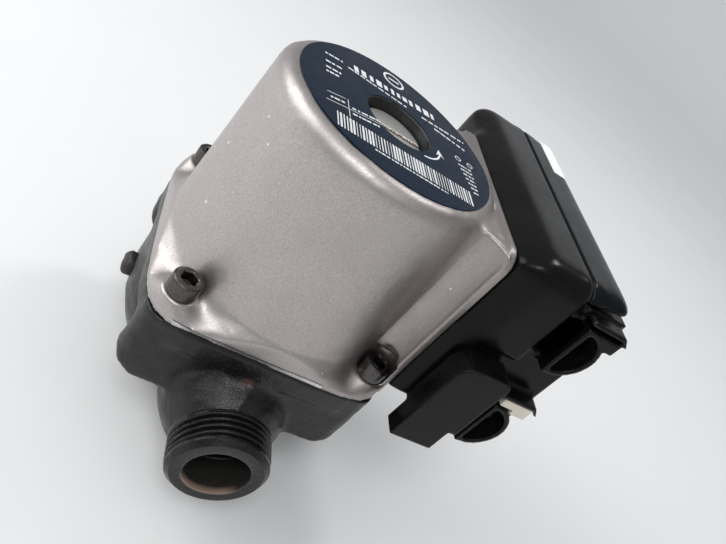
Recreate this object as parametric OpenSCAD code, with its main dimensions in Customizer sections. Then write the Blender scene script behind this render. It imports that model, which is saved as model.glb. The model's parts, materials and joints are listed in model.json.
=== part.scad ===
// Circulator pump with a wet rotor: cast iron housing with two G 1 unions,
// aluminium motor housing and a plastic terminal box with its electronics.
// Millimetres. The origin is where the pipe axis (Y) crosses the motor axis (Z).
// +Z points at the nameplate and +X at the terminal box.

/* [Ports] */
// Distance between the two union faces
port_span = 130; // [128:1:134]
// Outer radius of the G 1 union thread
thread_r = 16.62; // [16.4:0.01:16.8]
// Length of the union thread
thread_len = 12; // [10:0.5:13]
// Radius of the water way in a union
port_bore_r = 10.4; // [9.5:0.1:11]

/* [Pump housing] */
// Depth of the housing behind the pipe axis
back_depth = 33; // [32:0.5:35]
// Height of the joint face above the pipe axis
joint_z = 29; // [28.5:0.1:29.5]
// Half width of the square flange
flange_half = 44; // [43.5:0.1:44.5]
// Radius of the round chamber that holds the impeller
chamber_r = 31.5; // [30:0.5:32]

/* [Motor] */
// Height of the motor's top face above the pipe axis
motor_top_z = 103; // [102.5:0.1:104]
// Radius of the motor housing at its foot
motor_foot_r = 43.2; // [42.5:0.1:43.5]
// Radius of the motor housing below its rounded rim
motor_rim_r = 40.8; // [40:0.1:41]
// Half distance between neighbouring housing screws
screw_half_pitch = 34.5; // [34:0.1:35]
// Radius of the access hole for the vent screw
vent_hole_r = 12; // [11.9:0.1:12.3]
// Number of slots in the stator
stator_slots = 12; // [8:1:14]

/* [Impeller] */
// Outer radius of the impeller
impeller_r = 24; // [22:0.5:26]
// Number of impeller vanes
vane_count = 6; // [5:1:8]

/* [Terminal box] */
// Near end of the box along Y
box_y0 = -42; // [-43:0.5:-41]
// Far end of the box along Y
box_y1 = 60; // [56:1:62]
// Top of the box
box_top_z = 107.6; // [106:0.2:109]
// Bottom of the box
box_bottom_z = 37; // [35:0.5:38]
// Position of the seam between base and lid
seam_x = 66.5; // [66:0.1:67]
// Outer face of the lid
lid_x = 87; // [86.8:0.1:88]
// Wall thickness of the plastic parts
box_wall = 2.2; // [2:0.1:2.4]

/* [Hidden] */
fn_round = 72;
fn_small = 36;
fn_fillet = 24;
hex_sides = 6;

// Pump housing
port_bore_len = 28;
passage_r = 9.8;
passage_y = port_span / 2 - port_bore_len;
neck_y = port_span / 2 - thread_len;
flange_deep = 8;
flange_step = 0.4;
register_z = joint_z - 3;
register_r = 40.2;
floor_z0 = 3.5;
floor_z1 = 7;
inlet_cavity_r = 19;
inlet_cavity_z0 = -21;
volute_z0 = 9;
volute_z1 = 23;
volute_growth = 6;
outlet_well_r = 8.5;
outlet_well_y = 31;
outlet_well_z0 = -6;
boss_r = 7.3;
block_z0 = 1;
thread_chamfer = 1.6;
tapped_hole_r = 3.05;
tapped_hole_z0 = 9;
casting_plug_x = -41.8;
casting_plug_y = 2;
casting_plug_z = 6;
casting_plug_r = 4.4;
casting_plug_len = 4.8;

// Joint between housing and motor
gasket_t = 0.6;
motor_z0 = joint_z + gasket_t;
can_flange_r = 40;
can_flange_t = 1.2;
can_flange_z = motor_z0 - can_flange_t;
can_oring_section = (can_flange_z - register_z) / 2;
can_oring_r = 38.2;
plate_t = 1.2;
plate_r = 36.6;

// Rotor can
can_r = 16.9;
can_wall = 0.5;
can_base_r = 25.1;
can_base_z = 40.5;
can_top_z = 88;
can_neck_r = 8.6;
can_neck_z = 91.6;
holder_port_pitch_r = 12.4;
holder_port_r = 2;

// Stator and rotor
stator_r = 36.5;
core_z0 = 46;
core_z1 = 78;
insulator_t = 2.5;
slot_r = 3.6;
slot_pitch_r = 25;
slot_mouth = 1.6;
shaft_r = 4;
shaft_z0 = 11;
shaft_z1 = 87.2;
shaft_bore_r = 1.25;
bearing_gap = 0.05;
bearing_r = 8.1;
lower_bearing_z1 = 37;
upper_bearing_z0 = 80.5;
upper_bearing_z1 = 87;
rotor_r = 15.6;
rotor_sleeve_r = 16;
end_ring_t = 1.5;
thrust_gap = 0.3;
thrust_t = 4;

// Impeller
eye_r = 12;
eye_neck_r = 13.1;
eye_neck_z0 = 5.5;
neck_ring_r = 13.5;
neck_ring_seat_r = 14.6;
neck_ring_lip = 2.4;
neck_ring_lip_t = 0.8;
shroud_z0 = 12;
shroud_z1 = 13.2;
back_plate_z0 = 21.8;
back_plate_z1 = 23.4;
hub_r = 6.4;
hub_drop = 4.6;
cone_z0 = 12;
vane_t = 1.2;
vane_sweep = 62;

// Motor housing
motor_flange_t = 2;
screw_seat_z = 36.2;
seat_r = 6;
seat_foot_r = 11;
screw_pocket_h = 10;
rim_round = 5;
top_plate_t = 5;
well_r = 15;
well_z0 = 92.6;
frame_x = 41;
frame_t = 3;
frame_half_y = 38;
frame_z0 = 33;
frame_z1 = 102;
frame_corner = 6;
flank_start = [19.2, 36.2];
flank_bend = [31, 25];
lead_window_y = 11;
lead_window_z0 = 78;
lead_window_z1 = 91;
box_screw_y = 28;
box_screw_z = [46, 92];

// Fasteners
m6_shank_r = 2.9;
m6_shank_z0 = 12;
m6_head_r = 5;
m6_head_h = 6;
m6_hex_r = 2.89;
m6_hex_depth = 3.2;
m6_clear_r = 3.3;
m4_shank_r = 1.95;
m4_head_r = 3.6;
m4_head_h = 2.6;
m4_slot_w = 1;
m4_slot_deep = 1.2;

// Nameplate and vent screw
nameplate_r = 36;
nameplate_t = 0.25;
vent_head_r = 11.3;
vent_head_z0 = 92;
vent_head_z1 = 99.6;
vent_shank_r = 8.3;
vent_shank_z0 = 88.6;
vent_bore_r = 6.3;
vent_bore_z1 = 96;
vent_groove_r = 7.45;
vent_groove_z0 = 90.2;
vent_groove_z1 = 91.6;
vent_oring_r = 8.02;
vent_oring_section = 0.45;
vent_slot_w = 1.8;
vent_slot_depth = 2;

// Terminal box
ridge_x = 50;
ridge_drop = 5.6;
box_corner = 7;
box_far_step_y = 56;
box_back_x = ridge_x - 6;
box_floor_x = frame_x + box_wall;
bay_y = -40.5;
bay_depth = 27;
bay_x1 = 86.6;
bay_z0 = 30;
bay_z1 = 102;
near_wall_z0 = 72.5;
lid_notch_y = -11.5;
lid_notch_z = 103;
lid_corner = 6;
seal_t = 0.8;
lid_x0 = seam_x + seal_t + 0.2;
scoop_z = [45.5, 87.5];
scoop_x = 73;
scoop_r = 8.8;
scoop_wall = 1.9;
scoop_y = -47;
hook_t = 1.6;
hook_tip = 3;
hook_rise = [16.4, 13.8];
crossbar_w = 1.8;
terminal_x0 = 52;
terminal_x1 = 61;
terminal_z0 = 42;
terminal_z1 = 64;
lid_screw_yz = [[20, 42.6], [20, 102]];
lid_boss_r = 4;
lid_screw_r = 1.7;
lid_screw_len = 28;
lid_screw_head_r = 3;
lid_screw_head_h = 2;
lid_slot_w = 0.8;
lid_slot_deep = 1.2;
lug_x0 = 76;
lug_x1 = 85.4;
lug_z0 = 93.5;
lug_z1 = 98.1;
key_x0 = 72;
key_x1 = 84.4;
key_step_x = 78;
key_step_z = 57;
key_z0 = 55.2;
key_z1 = 60.2;
sticker_x = [75.6, 81.8];
sticker_y = [31.5, 54.5];
sticker_t = 0.15;

// Plug cover
cover_x0 = 45;
cover_x1 = 65;
cover_y0 = -52;
cover_gap = 0.4;
cover_z0 = 31;
cover_z1 = 70;
cover_corner = 7;
cover_toe_z = 41.5;
cover_y1 = bay_y - 1.5 - cover_gap;

// Electronics
board_x = 48;
board_t = 1.6;
board_y0 = -34;
board_y1 = 53;
board_z0 = 42;
board_z1 = 103;
board_hole_yz = [[-24, 98], [48, 98], [48, 46]];
board_hole_r = 1.6;
board_screw_r = 1.15;
board_screw_head_r = 2.6;
board_screw_head_h = 1.8;
standoff_r = 3.2;
board_face_x = board_x + board_t;
lead_y = [-6, 0, 6];
lead_z = 84.5;
lead_r = 0.8;
winding_r = 34;
capacitor_r = 9;
capacitor_len = 26;
capacitor_y = 40;
capacitor_z = 88;
choke_r = 9;
choke_hole_r = 4;
choke_len = 10;
choke_y = 20;
choke_z = 86;
relay_h = 15;
relay_y = [28, 43];
relay_z = [51, 76];
film_capacitor_h = 16;
film_capacitor_y = [12, 22];
film_capacitor_z = [50, 68];
fuse_y = 4;
fuse_z = [50, 70];
fuse_r = 2.6;
fuse_lift = 4;
fuse_clip = [2, 3];
spreader_t = 1.6;
spreader_y = [13, 35.5];
spreader_z = [54, 76];
power_module_y = [16, 33];
power_module_z = [56, 74];
terminal_block_y = [-30, -14];
terminal_block_z = [44, 64];
terminal_block_h = 12;
terminal_hole_z = [49, 54, 59];
terminal_hole_r = 1.8;
terminal_hole_len = 6;
header_y = [-30, -20];
header_z = [72, 86];
header_h = 8;
header_wall = 1.2;
connector_half_y = 9.5;
connector_z = [79.5, 89.5];

// ---------- outlines ----------

// Rounded square of the flange: |x|^6 + |y|^6 = half^6
function squircle(half, n = 72) = [
    for (i = [0 : n - 1])
        let (a = 360 * i / n, k = pow(pow(abs(cos(a)), 6) + pow(abs(sin(a)), 6), -1 / 6))
        [half * k * cos(a), half * k * sin(a)]
];

// Rectangle from [x0, y0] to [x1, y1] with round corners of radius r
function round_rect(x0, y0, x1, y1, r, n = 8) = [
    for (c = [[x1 - r, y1 - r, 0], [x0 + r, y1 - r, 90], [x0 + r, y0 + r, 180], [x1 - r, y0 + r, 270]])
        for (i = [0 : n])
            [c[0] + r * cos(c[2] + 90 * i / n), c[1] + r * sin(c[2] + 90 * i / n)]
];

// Quadratic curve from a to c, pulled towards b
function curve(a, b, c, n = 8) = [
    for (i = [0 : n])
        let (t = i / n)
        (1 - t) * (1 - t) * a + 2 * t * (1 - t) * b + t * t * c
];

// Extrudes an outline given in Y and Z along +X, from x0 to x1
module along_x(x0, x1) {
    translate([x0, 0, 0])
        rotate([90, 0, 90])
            linear_extrude(x1 - x0)
                children();
}

// Extrudes an outline given in X and Z along +Y, from y0 to y1
module along_y(y0, y1) {
    translate([0, y1, 0])
        rotate([90, 0, 0])
            linear_extrude(y1 - y0)
                children();
}

// Box from one corner to the other
module block(from, to) {
    translate(from)
        cube(to - from);
}

// Ring about the Z axis
module ring(r_out, r_in, z0, z1, fn = fn_round) {
    translate([0, 0, z0])
        difference() {
            cylinder(h = z1 - z0, r = r_out, $fn = fn);
            translate([0, 0, -1])
                cylinder(h = z1 - z0 + 2, r = r_in, $fn = fn);
        }
}

// Round bar along X
module bar_x(x0, x1, r, y, z, fn = fn_small) {
    translate([x0, y, z])
        rotate([0, 90, 0])
            cylinder(h = x1 - x0, r = r, $fn = fn);
}

// Round bar along Y
module bar_y(y0, y1, r, x, z, fn = fn_small) {
    translate([x, y0, z])
        rotate([-90, 0, 0])
            cylinder(h = y1 - y0, r = r, $fn = fn);
}

// The four housing screws' places
module at_housing_screws() {
    for (x = [-screw_half_pitch, screw_half_pitch])
        for (y = [-screw_half_pitch, screw_half_pitch])
            translate([x, y, 0])
                children();
}

// ---------- pump housing ----------

// Union, from the body out along -Y
module port_outside() {
    rotate([90, 0, 0])
        rotate_extrude($fn = fn_round)
            polygon([
                [0, 26], [22.4, 30], [22.4, 36], [21.3, 41], [19.8, 45], [17.8, 49], [15.4, neck_y],
                [thread_r, neck_y + 1], [thread_r, port_span / 2 - thread_chamfer],
                [thread_r - thread_chamfer, port_span / 2], [0, port_span / 2]
            ]);
}

module housing_outside() {
    intersection() {
        union() {
            translate([0, 0, joint_z - flange_deep])
                linear_extrude(flange_deep)
                    polygon(squircle(flange_half - flange_step));
            at_housing_screws()
                cylinder(h = joint_z, r = boss_r, $fn = fn_small);
            block([-screw_half_pitch, -screw_half_pitch - boss_r, 0],
                [screw_half_pitch, screw_half_pitch + boss_r, joint_z - 4]);
        }
        along_y(-60, 60)
            polygon([[-44.5, joint_z], [-43.4, 10], [-40, 4], [-33, block_z0], [33, block_z0], [39, 3.5],
                [44.5, joint_z]]);
    }
    rotate_extrude($fn = fn_round)
        polygon([
            [0, -back_depth], [15, -back_depth], [20, -30], [25.2, -24.4], [30.4, -18.5], [34.5, -13.5], [38, -8],
            [41, -2.5], [43, 3], [43.6, 9], [43.6, 20], [0, 20]
        ]);
    port_outside();
    mirror([0, 1, 0])
        port_outside();
}

// Spiral outline of the volute passage, widening once round the impeller
function spiral(r0, growth, n = 60) = [
    for (i = [0 : n])
        let (a = 90 - 360 * i / n, r = r0 + growth * (1 - i / n))
        [r * cos(a), r * sin(a)]
];

module housing_passages() {
    translate([0, 0, floor_z1])
        cylinder(h = joint_z, r = chamber_r, $fn = fn_round);
    translate([0, 0, volute_z0])
        linear_extrude(volute_z1 - volute_z0)
            polygon(spiral(chamber_r, volute_growth));
    translate([0, 0, register_z])
        cylinder(h = joint_z, r = register_r, $fn = fn_round);
    translate([0, 0, inlet_cavity_z0])
        cylinder(h = floor_z0 - inlet_cavity_z0, r = inlet_cavity_r, $fn = fn_round);
    translate([0, 0, floor_z0 - 1])
        cylinder(h = floor_z1, r = neck_ring_seat_r, $fn = fn_round);
    bar_y(-port_span, -passage_y, port_bore_r, 0, 0, fn_round);
    bar_y(-passage_y - 1, -inlet_cavity_r + 5, passage_r, 0, 0, fn_round);
    bar_y(passage_y, port_span, port_bore_r, 0, 0, fn_round);
    bar_y(outlet_well_y, passage_y + 1, passage_r, 0, 0, fn_round);
    translate([0, outlet_well_y, outlet_well_z0])
        cylinder(h = volute_z1 + 5, r = outlet_well_r, $fn = fn_small);
    bar_x(-flange_half - 4, casting_plug_x, casting_plug_r, casting_plug_y, casting_plug_z);
    translate([0, 0, tapped_hole_z0])
        at_housing_screws()
            cylinder(h = joint_z, r = tapped_hole_r, $fn = fn_small);
}

module pump_housing() {
    color([0.09, 0.09, 0.10])
        difference() {
            housing_outside();
            housing_passages();
        }
}

// Pressed core plug in the side of the housing
module casting_plug() {
    color([0.16, 0.15, 0.15])
        translate([casting_plug_x, casting_plug_y, casting_plug_z])
            rotate([0, -90, 0])
                rotate_extrude($fn = fn_small)
                    polygon([
                        [0, 0], [casting_plug_r, 0], [casting_plug_r, casting_plug_len - 1.6],
                        [casting_plug_r - 1, casting_plug_len - 0.4], [0, casting_plug_len]
                    ]);
}

// Steel wear ring in the eye of the housing
module neck_ring() {
    color([0.72, 0.72, 0.74])
        rotate_extrude($fn = fn_round)
            polygon([
                [neck_ring_r, floor_z0], [neck_ring_seat_r, floor_z0], [neck_ring_seat_r, floor_z1],
                [neck_ring_seat_r + neck_ring_lip, floor_z1],
                [neck_ring_seat_r + neck_ring_lip, floor_z1 + neck_ring_lip_t],
                [neck_ring_r, floor_z1 + neck_ring_lip_t]
            ]);
}

module housing_gasket() {
    color([0.03, 0.03, 0.03])
        translate([0, 0, joint_z])
            difference() {
                linear_extrude(gasket_t)
                    polygon(squircle(flange_half - 0.5));
                translate([0, 0, -1])
                    cylinder(h = gasket_t + 2, r = register_r, $fn = fn_round);
                translate([0, 0, -1])
                    at_housing_screws()
                        cylinder(h = gasket_t + 2, r = m6_clear_r, $fn = fn_small);
            }
}

module can_oring() {
    color([0.05, 0.05, 0.05])
        translate([0, 0, register_z + can_oring_section])
            rotate_extrude($fn = fn_round)
                translate([can_oring_r, 0])
                    circle(r = can_oring_section, $fn = fn_fillet);
}

// ---------- hydraulic side of the motor ----------

module bearing_plate() {
    color([0.74, 0.74, 0.76])
        rotate_extrude($fn = fn_round)
            polygon([
                [shaft_r + 0.7, can_flange_z - plate_t], [plate_r, can_flange_z - plate_t],
                [plate_r, can_flange_z], [bearing_r + 1, can_flange_z], [bearing_r + 1, lower_bearing_z1 - 1],
                [bearing_r, lower_bearing_z1 - 1], [bearing_r, can_flange_z], [shaft_r + 0.7, can_flange_z]
            ]);
}

module rotor_can() {
    inner_r = can_r - can_wall;
    color([0.78, 0.78, 0.80])
        rotate_extrude($fn = fn_round)
            polygon([
                [can_base_r - can_wall, can_flange_z], [can_flange_r, can_flange_z], [can_flange_r, motor_z0],
                [can_base_r, motor_z0], [can_base_r, can_base_z], [can_r, can_base_z],
                [can_r, can_top_z], [can_neck_r + can_wall, can_top_z],
                [can_neck_r + can_wall, can_neck_z], [can_neck_r, can_neck_z],
                [can_neck_r, can_top_z - can_wall], [inner_r, can_top_z - can_wall],
                [inner_r, can_base_z - can_wall], [can_base_r - can_wall, can_base_z - can_wall]
            ]);
}

module bearing(z0, z1) {
    color([0.88, 0.87, 0.83])
        ring(bearing_r, shaft_r + bearing_gap, z0, z1);
}

module lower_bearing() {
    bearing(can_flange_z, lower_bearing_z1);
}

module upper_bearing() {
    bearing(upper_bearing_z0, upper_bearing_z1);
}

// Ring that centres the upper bearing in the can, with passages for water
module upper_bearing_holder() {
    color([0.70, 0.70, 0.72])
        difference() {
            ring(can_r - can_wall, bearing_r, upper_bearing_z0 + 0.5, upper_bearing_z1);
            for (a = [0 : 60 : 300])
                rotate([0, 0, a])
                    translate([holder_port_pitch_r, 0, upper_bearing_z0])
                        cylinder(h = can_top_z - upper_bearing_z0, r = holder_port_r, $fn = fn_fillet);
        }
}

// ---------- motor ----------

module motor_shell_outside() {
    intersection() {
        translate([0, 0, motor_z0])
            linear_extrude(motor_top_z)
                polygon(squircle(flange_half));
        union() {
            translate([0, 0, motor_z0])
                cylinder(h = motor_flange_t, r = 2 * flange_half, $fn = fn_round);
            at_housing_screws()
                rotate_extrude($fn = fn_small)
                    polygon([
                        [0, motor_z0], [seat_foot_r, motor_z0], [seat_foot_r, motor_z0 + motor_flange_t],
                        [seat_r, screw_seat_z], [0, screw_seat_z]
                    ]);
            rotate_extrude($fn = fn_round)
                polygon(concat(
                    [[0, motor_z0], [motor_foot_r + 9, motor_z0], [motor_foot_r + 9, motor_z0 + motor_flange_t],
                        [motor_foot_r + 3, 35], [motor_foot_r, 39.5]],
                    [for (i = [0 : 6])
                        [motor_rim_r - rim_round * (1 - cos(15 * i)),
                            motor_top_z - rim_round + rim_round * sin(15 * i)]],
                    [[0, motor_top_z]]
                ));
        }
    }
}

// Flat frame on the +X side that carries the terminal box, square at its lower corners
module side_frame() {
    along_x(frame_x - frame_t, frame_x)
        polygon(round_rect(-frame_half_y, frame_z0, frame_half_y, frame_z1, frame_corner));
    block([frame_x - frame_t, -frame_half_y, frame_z0], [frame_x, frame_half_y, frame_z0 + frame_corner]);
    flank = curve(flank_start, flank_bend, [frame_x - frame_t, frame_half_y - 1]);
    translate([0, 0, frame_z0])
        linear_extrude(frame_z1 - frame_z0 - 1)
            polygon(concat([[0, 0]], [for (p = flank) [p[0], -p[1]]],
                [for (i = [len(flank) - 1 : -1 : 0]) flank[i]]));
}

module motor_housing() {
    color([0.66, 0.65, 0.64])
        difference() {
            union() {
                motor_shell_outside();
                side_frame();
            }
            difference() {
                translate([0, 0, motor_z0 - 1])
                    cylinder(h = motor_top_z - top_plate_t - motor_z0 + 1, r = stator_r, $fn = fn_round);
                translate([0, 0, well_z0])
                    cylinder(h = 20, r = well_r, $fn = fn_round);
            }
            translate([0, 0, well_z0 - 1])
                cylinder(h = 20, r = vent_hole_r, $fn = fn_round);
            translate([0, 0, motor_z0 - 1])
                at_housing_screws()
                    cylinder(h = 20, r = m6_clear_r, $fn = fn_small);
            translate([0, 0, screw_seat_z])
                at_housing_screws()
                    cylinder(h = screw_pocket_h, r = m6_head_r + 0.5, $fn = fn_small);
            block([20, -lead_window_y, lead_window_z0], [frame_x + 1, lead_window_y, lead_window_z1]);
            block([frame_x, -flange_half, screw_seat_z], [2 * flange_half, flange_half, motor_top_z]);
            for (y = [-box_screw_y, box_screw_y])
                for (z = box_screw_z)
                    bar_x(frame_x - 7, frame_x + 1, m4_shank_r + 0.05, y, z);
        }
}

module housing_screws() {
    color([0.28, 0.27, 0.26])
        at_housing_screws() {
            translate([0, 0, m6_shank_z0])
                cylinder(h = screw_seat_z - m6_shank_z0, r = m6_shank_r, $fn = fn_small);
            difference() {
                translate([0, 0, screw_seat_z])
                    rotate_extrude($fn = fn_small)
                        polygon([[0, 0], [m6_head_r, 0], [m6_head_r, m6_head_h - 0.5],
                            [m6_head_r - 0.5, m6_head_h], [0, m6_head_h]]);
                translate([0, 0, screw_seat_z + m6_head_h - m6_hex_depth])
                    cylinder(h = m6_head_h, r = m6_hex_r, $fn = hex_sides);
            }
        }
}

module slot_outline() {
    for (i = [0 : stator_slots - 1])
        rotate(360 * i / stator_slots) {
            translate([slot_pitch_r, 0])
                circle(r = slot_r, $fn = fn_fillet);
            translate([can_r, -slot_mouth / 2])
                square([slot_pitch_r - can_r, slot_mouth]);
        }
}

module lamination(z0, z1, r_out) {
    translate([0, 0, z0])
        linear_extrude(z1 - z0)
            difference() {
                circle(r = r_out, $fn = fn_round);
                circle(r = can_r + 0.1, $fn = fn_round);
                slot_outline();
            }
}

module stator_core() {
    color([0.42, 0.43, 0.45])
        lamination(core_z0, core_z1, stator_r);
}

module stator_insulators() {
    color([0.85, 0.82, 0.70]) {
        lamination(core_z0 - insulator_t, core_z0, stator_r - 2);
        lamination(core_z1, core_z1 + insulator_t, stator_r - 2);
    }
}

module stator_windings() {
    color([0.72, 0.38, 0.18]) {
        for (i = [0 : stator_slots - 1])
            rotate([0, 0, 360 * i / stator_slots])
                translate([slot_pitch_r, 0, core_z0 - insulator_t - 1])
                    cylinder(h = core_z1 - core_z0 + 2 * insulator_t + 2, r = slot_r - 0.4, $fn = fn_fillet);
        rotate_extrude($fn = fn_round)
            polygon(round_rect(slot_pitch_r + 1, 34, winding_r, core_z0 - insulator_t, 3, 3));
        rotate_extrude($fn = fn_round)
            polygon(round_rect(20, core_z1 + insulator_t, winding_r, 89, 3, 3));
    }
}

module can_top_seal() {
    color([0.06, 0.06, 0.06])
        ring(well_r - 0.2, vent_head_r + 0.4, can_top_z, well_z0);
}

module nameplate() {
    color([0.05, 0.14, 0.24])
        ring(nameplate_r, vent_hole_r + 0.2, motor_top_z, motor_top_z + nameplate_t);
}

module vent_screw() {
    color([0.75, 0.74, 0.70])
        difference() {
            rotate_extrude($fn = fn_round)
                polygon([
                    [vent_bore_r, vent_shank_z0], [vent_shank_r, vent_shank_z0], [vent_shank_r, vent_groove_z0],
                    [vent_groove_r, vent_groove_z0], [vent_groove_r, vent_groove_z1],
                    [vent_shank_r, vent_groove_z1], [vent_shank_r, vent_head_z0], [vent_head_r, vent_head_z0],
                    [vent_head_r, vent_head_z1 - 0.8], [vent_head_r - 0.8, vent_head_z1], [0, vent_head_z1],
                    [0, vent_bore_z1], [vent_bore_r, vent_bore_z1]
                ]);
            block([-vent_head_r - 1, -vent_slot_w / 2, vent_head_z1 - vent_slot_depth],
                [vent_head_r + 1, vent_slot_w / 2, vent_head_z1 + 1]);
        }
}

module vent_screw_oring() {
    color([0.05, 0.05, 0.05])
        translate([0, 0, (vent_groove_z0 + vent_groove_z1) / 2])
            rotate_extrude($fn = fn_round)
                translate([vent_oring_r, 0])
                    circle(r = vent_oring_section, $fn = fn_fillet);
}

// ---------- rotor ----------

module shaft() {
    color([0.90, 0.89, 0.85])
        ring(shaft_r, shaft_bore_r, shaft_z0, shaft_z1, fn_small);
}

module rotor_core() {
    color([0.45, 0.46, 0.48])
        ring(rotor_r, shaft_r, core_z0, core_z1);
}

module rotor_sleeve() {
    color([0.80, 0.80, 0.82])
        ring(rotor_sleeve_r, rotor_r, core_z0 - end_ring_t, core_z1 + end_ring_t);
}

module rotor_end_rings() {
    color([0.70, 0.70, 0.70]) {
        ring(rotor_r, shaft_r, core_z0 - end_ring_t, core_z0);
        ring(rotor_r, shaft_r, core_z1, core_z1 + end_ring_t);
    }
}

module thrust_bearing() {
    color([0.14, 0.14, 0.15])
        ring(bearing_r + 1, shaft_r, lower_bearing_z1 + thrust_gap, lower_bearing_z1 + thrust_gap + thrust_t);
}

module thrust_bearing_retainer() {
    color([0.10, 0.10, 0.10])
        ring(bearing_r + 1.6, shaft_r, lower_bearing_z1 + thrust_gap + thrust_t, core_z0 - end_ring_t);
}

// ---------- impeller ----------

function vane_line(side, n = 8) = [
    for (i = [0 : n])
        let (t = i / n, r = hub_r + 3 + (impeller_r - hub_r - 3.4) * t, a = vane_sweep * t * (2 - t) / 1.2)
        [r * cos(a) - side * sin(a), r * sin(a) + side * cos(a)]
];

module vanes(h) {
    front = vane_line(vane_t / 2);
    back = vane_line(-vane_t / 2);
    for (k = [0 : vane_count - 1])
        rotate([0, 0, 360 * k / vane_count])
            linear_extrude(h)
                polygon(concat(front, [for (i = [len(back) - 1 : -1 : 0]) back[i]]));
}

module impeller() {
    color([0.76, 0.76, 0.77]) {
        ring(impeller_r, shaft_r, back_plate_z0, back_plate_z1);
        ring(hub_r, shaft_r, back_plate_z0 - hub_drop, back_plate_z1 + 1);
        translate([0, 0, shroud_z1])
            vanes(back_plate_z0 - shroud_z1 + 0.2);
    }
}

// Front shroud with the eye's neck, which runs in the neck ring
module impeller_shroud() {
    color([0.78, 0.78, 0.79])
        rotate_extrude($fn = fn_round)
            polygon([
                [eye_r, eye_neck_z0], [eye_neck_r, eye_neck_z0], [eye_neck_r, shroud_z0 - 1],
                [eye_neck_r + 1, shroud_z0], [impeller_r, shroud_z0], [impeller_r, shroud_z1], [eye_r, shroud_z1]
            ]);
}

// Split cone and nut that hold the impeller on the shaft
module split_cone() {
    color([0.72, 0.58, 0.30])
        rotate_extrude($fn = fn_small)
            polygon([
                [shaft_r, cone_z0], [shaft_r + 1.2, cone_z0], [shaft_r + 2.2, cone_z0 + 1.4],
                [shaft_r + 2.2, back_plate_z0 - hub_drop], [shaft_r, back_plate_z0 - hub_drop]
            ]);
}

// ---------- terminal box ----------

// Floor of the box behind a standoff
function standoff_x(y) = y > frame_half_y ? box_back_x + box_wall : box_floor_x;

// Solid of the base: a foot on the motor's frame that widens to the box
module base_solid(inset = 0) {
    y0 = box_y0 + inset;
    y1 = box_y1 - inset;
    z0 = box_bottom_z + inset;
    z1 = box_top_z - inset;
    intersection() {
        translate([0, 0, z0])
            linear_extrude(z1 - z0)
                polygon([
                    [frame_x + inset, -frame_half_y + inset], [ridge_x, y0], [seam_x, y0], [seam_x, y1],
                    [ridge_x, y1], [box_back_x + inset, box_far_step_y - inset],
                    [box_back_x + inset, frame_half_y - inset], [frame_x + inset, frame_half_y - inset]
                ]);
        along_y(y0 - 1, y1 + 1)
            polygon([
                [frame_x, z0], [seam_x, z0], [seam_x, z1], [ridge_x, z1], [frame_x + inset, z1 - ridge_drop]
            ]);
        along_x(frame_x - 1, seam_x + 1)
            polygon(round_rect(y0, z0, y1, z1, box_corner - inset));
    }
}

// One cable entry: a half-round collar with a straight crossbar
module cable_scoop(z) {
    difference() {
        bar_y(scoop_y, bay_y + 1, scoop_r + scoop_wall, scoop_x, z);
        bar_y(scoop_y - 1, bay_y + 2, scoop_r, scoop_x, z);
        block([scoop_x - 20, scoop_y - 1, z - 20], [scoop_x, bay_y + 2, z + 20]);
    }
    block([scoop_x - crossbar_w, scoop_y, z - scoop_r - scoop_wall],
        [scoop_x, scoop_y + 3, z + scoop_r + scoop_wall]);
    block([scoop_x - crossbar_w, scoop_y, z - scoop_r - scoop_wall],
        [scoop_x, bay_y + 1, z - scoop_r]);
    block([scoop_x - crossbar_w, scoop_y, z + scoop_r],
        [scoop_x, bay_y + 1, z + scoop_r + scoop_wall]);
}

// Shelf above a cable entry, with its tip past the collar
module hook_shelf(z, x1) {
    along_y(scoop_y, bay_y + 1)
        polygon([[scoop_x - hook_tip, z], [x1 - hook_tip, z], [x1, z - 2 * hook_t],
            [x1 - hook_tip / 2, z - 2 * hook_t], [x1 - hook_tip, z - hook_t], [scoop_x - hook_tip, z - hook_t]]);
}

module connector_bay() {
    y1 = bay_y + bay_depth;
    difference() {
        block([seam_x - box_wall, bay_y, bay_z0], [bay_x1, y1, bay_z1]);
        block([seam_x - box_wall - 1, bay_y + box_wall, bay_z0 + box_wall],
            [bay_x1 - box_wall, y1 + 1, bay_z1 - box_wall]);
        for (z = scoop_z)
            bar_y(bay_y - 1, bay_y + box_wall + 1, scoop_r, scoop_x, z);
    }
    for (z = scoop_z)
        cable_scoop(z);
    for (i = [0, 1])
        hook_shelf(scoop_z[i] + hook_rise[i], bay_x1 + 1);
    along_y(scoop_y, bay_y + 1)
        polygon([
            [lug_x0, lug_z1], [lug_x1, lug_z1], [lug_x1, lug_z0], [lug_x1 - 4, lug_z0], [lug_x0, lug_z0 + 3]
        ]);
}

// Bosses in the base that take the lid's screws
module lid_screw_bosses() {
    for (p = lid_screw_yz)
        difference() {
            bar_x(seam_x - 10, seam_x, lid_boss_r, p[0], p[1]);
            bar_x(seam_x - 9, seam_x + 1, lid_screw_r + 0.05, p[0], p[1]);
        }
}

// Wall behind the plug cover, with the opening to the mains terminals
module terminal_window() {
    difference() {
        block([ridge_x - 1, bay_y, box_bottom_z + box_wall / 2],
            [seam_x - box_wall / 2, bay_y + box_wall, near_wall_z0]);
        block([terminal_x0, bay_y - 1, terminal_z0], [terminal_x1, bay_y + box_wall + 1, terminal_z1]);
    }
}

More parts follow.
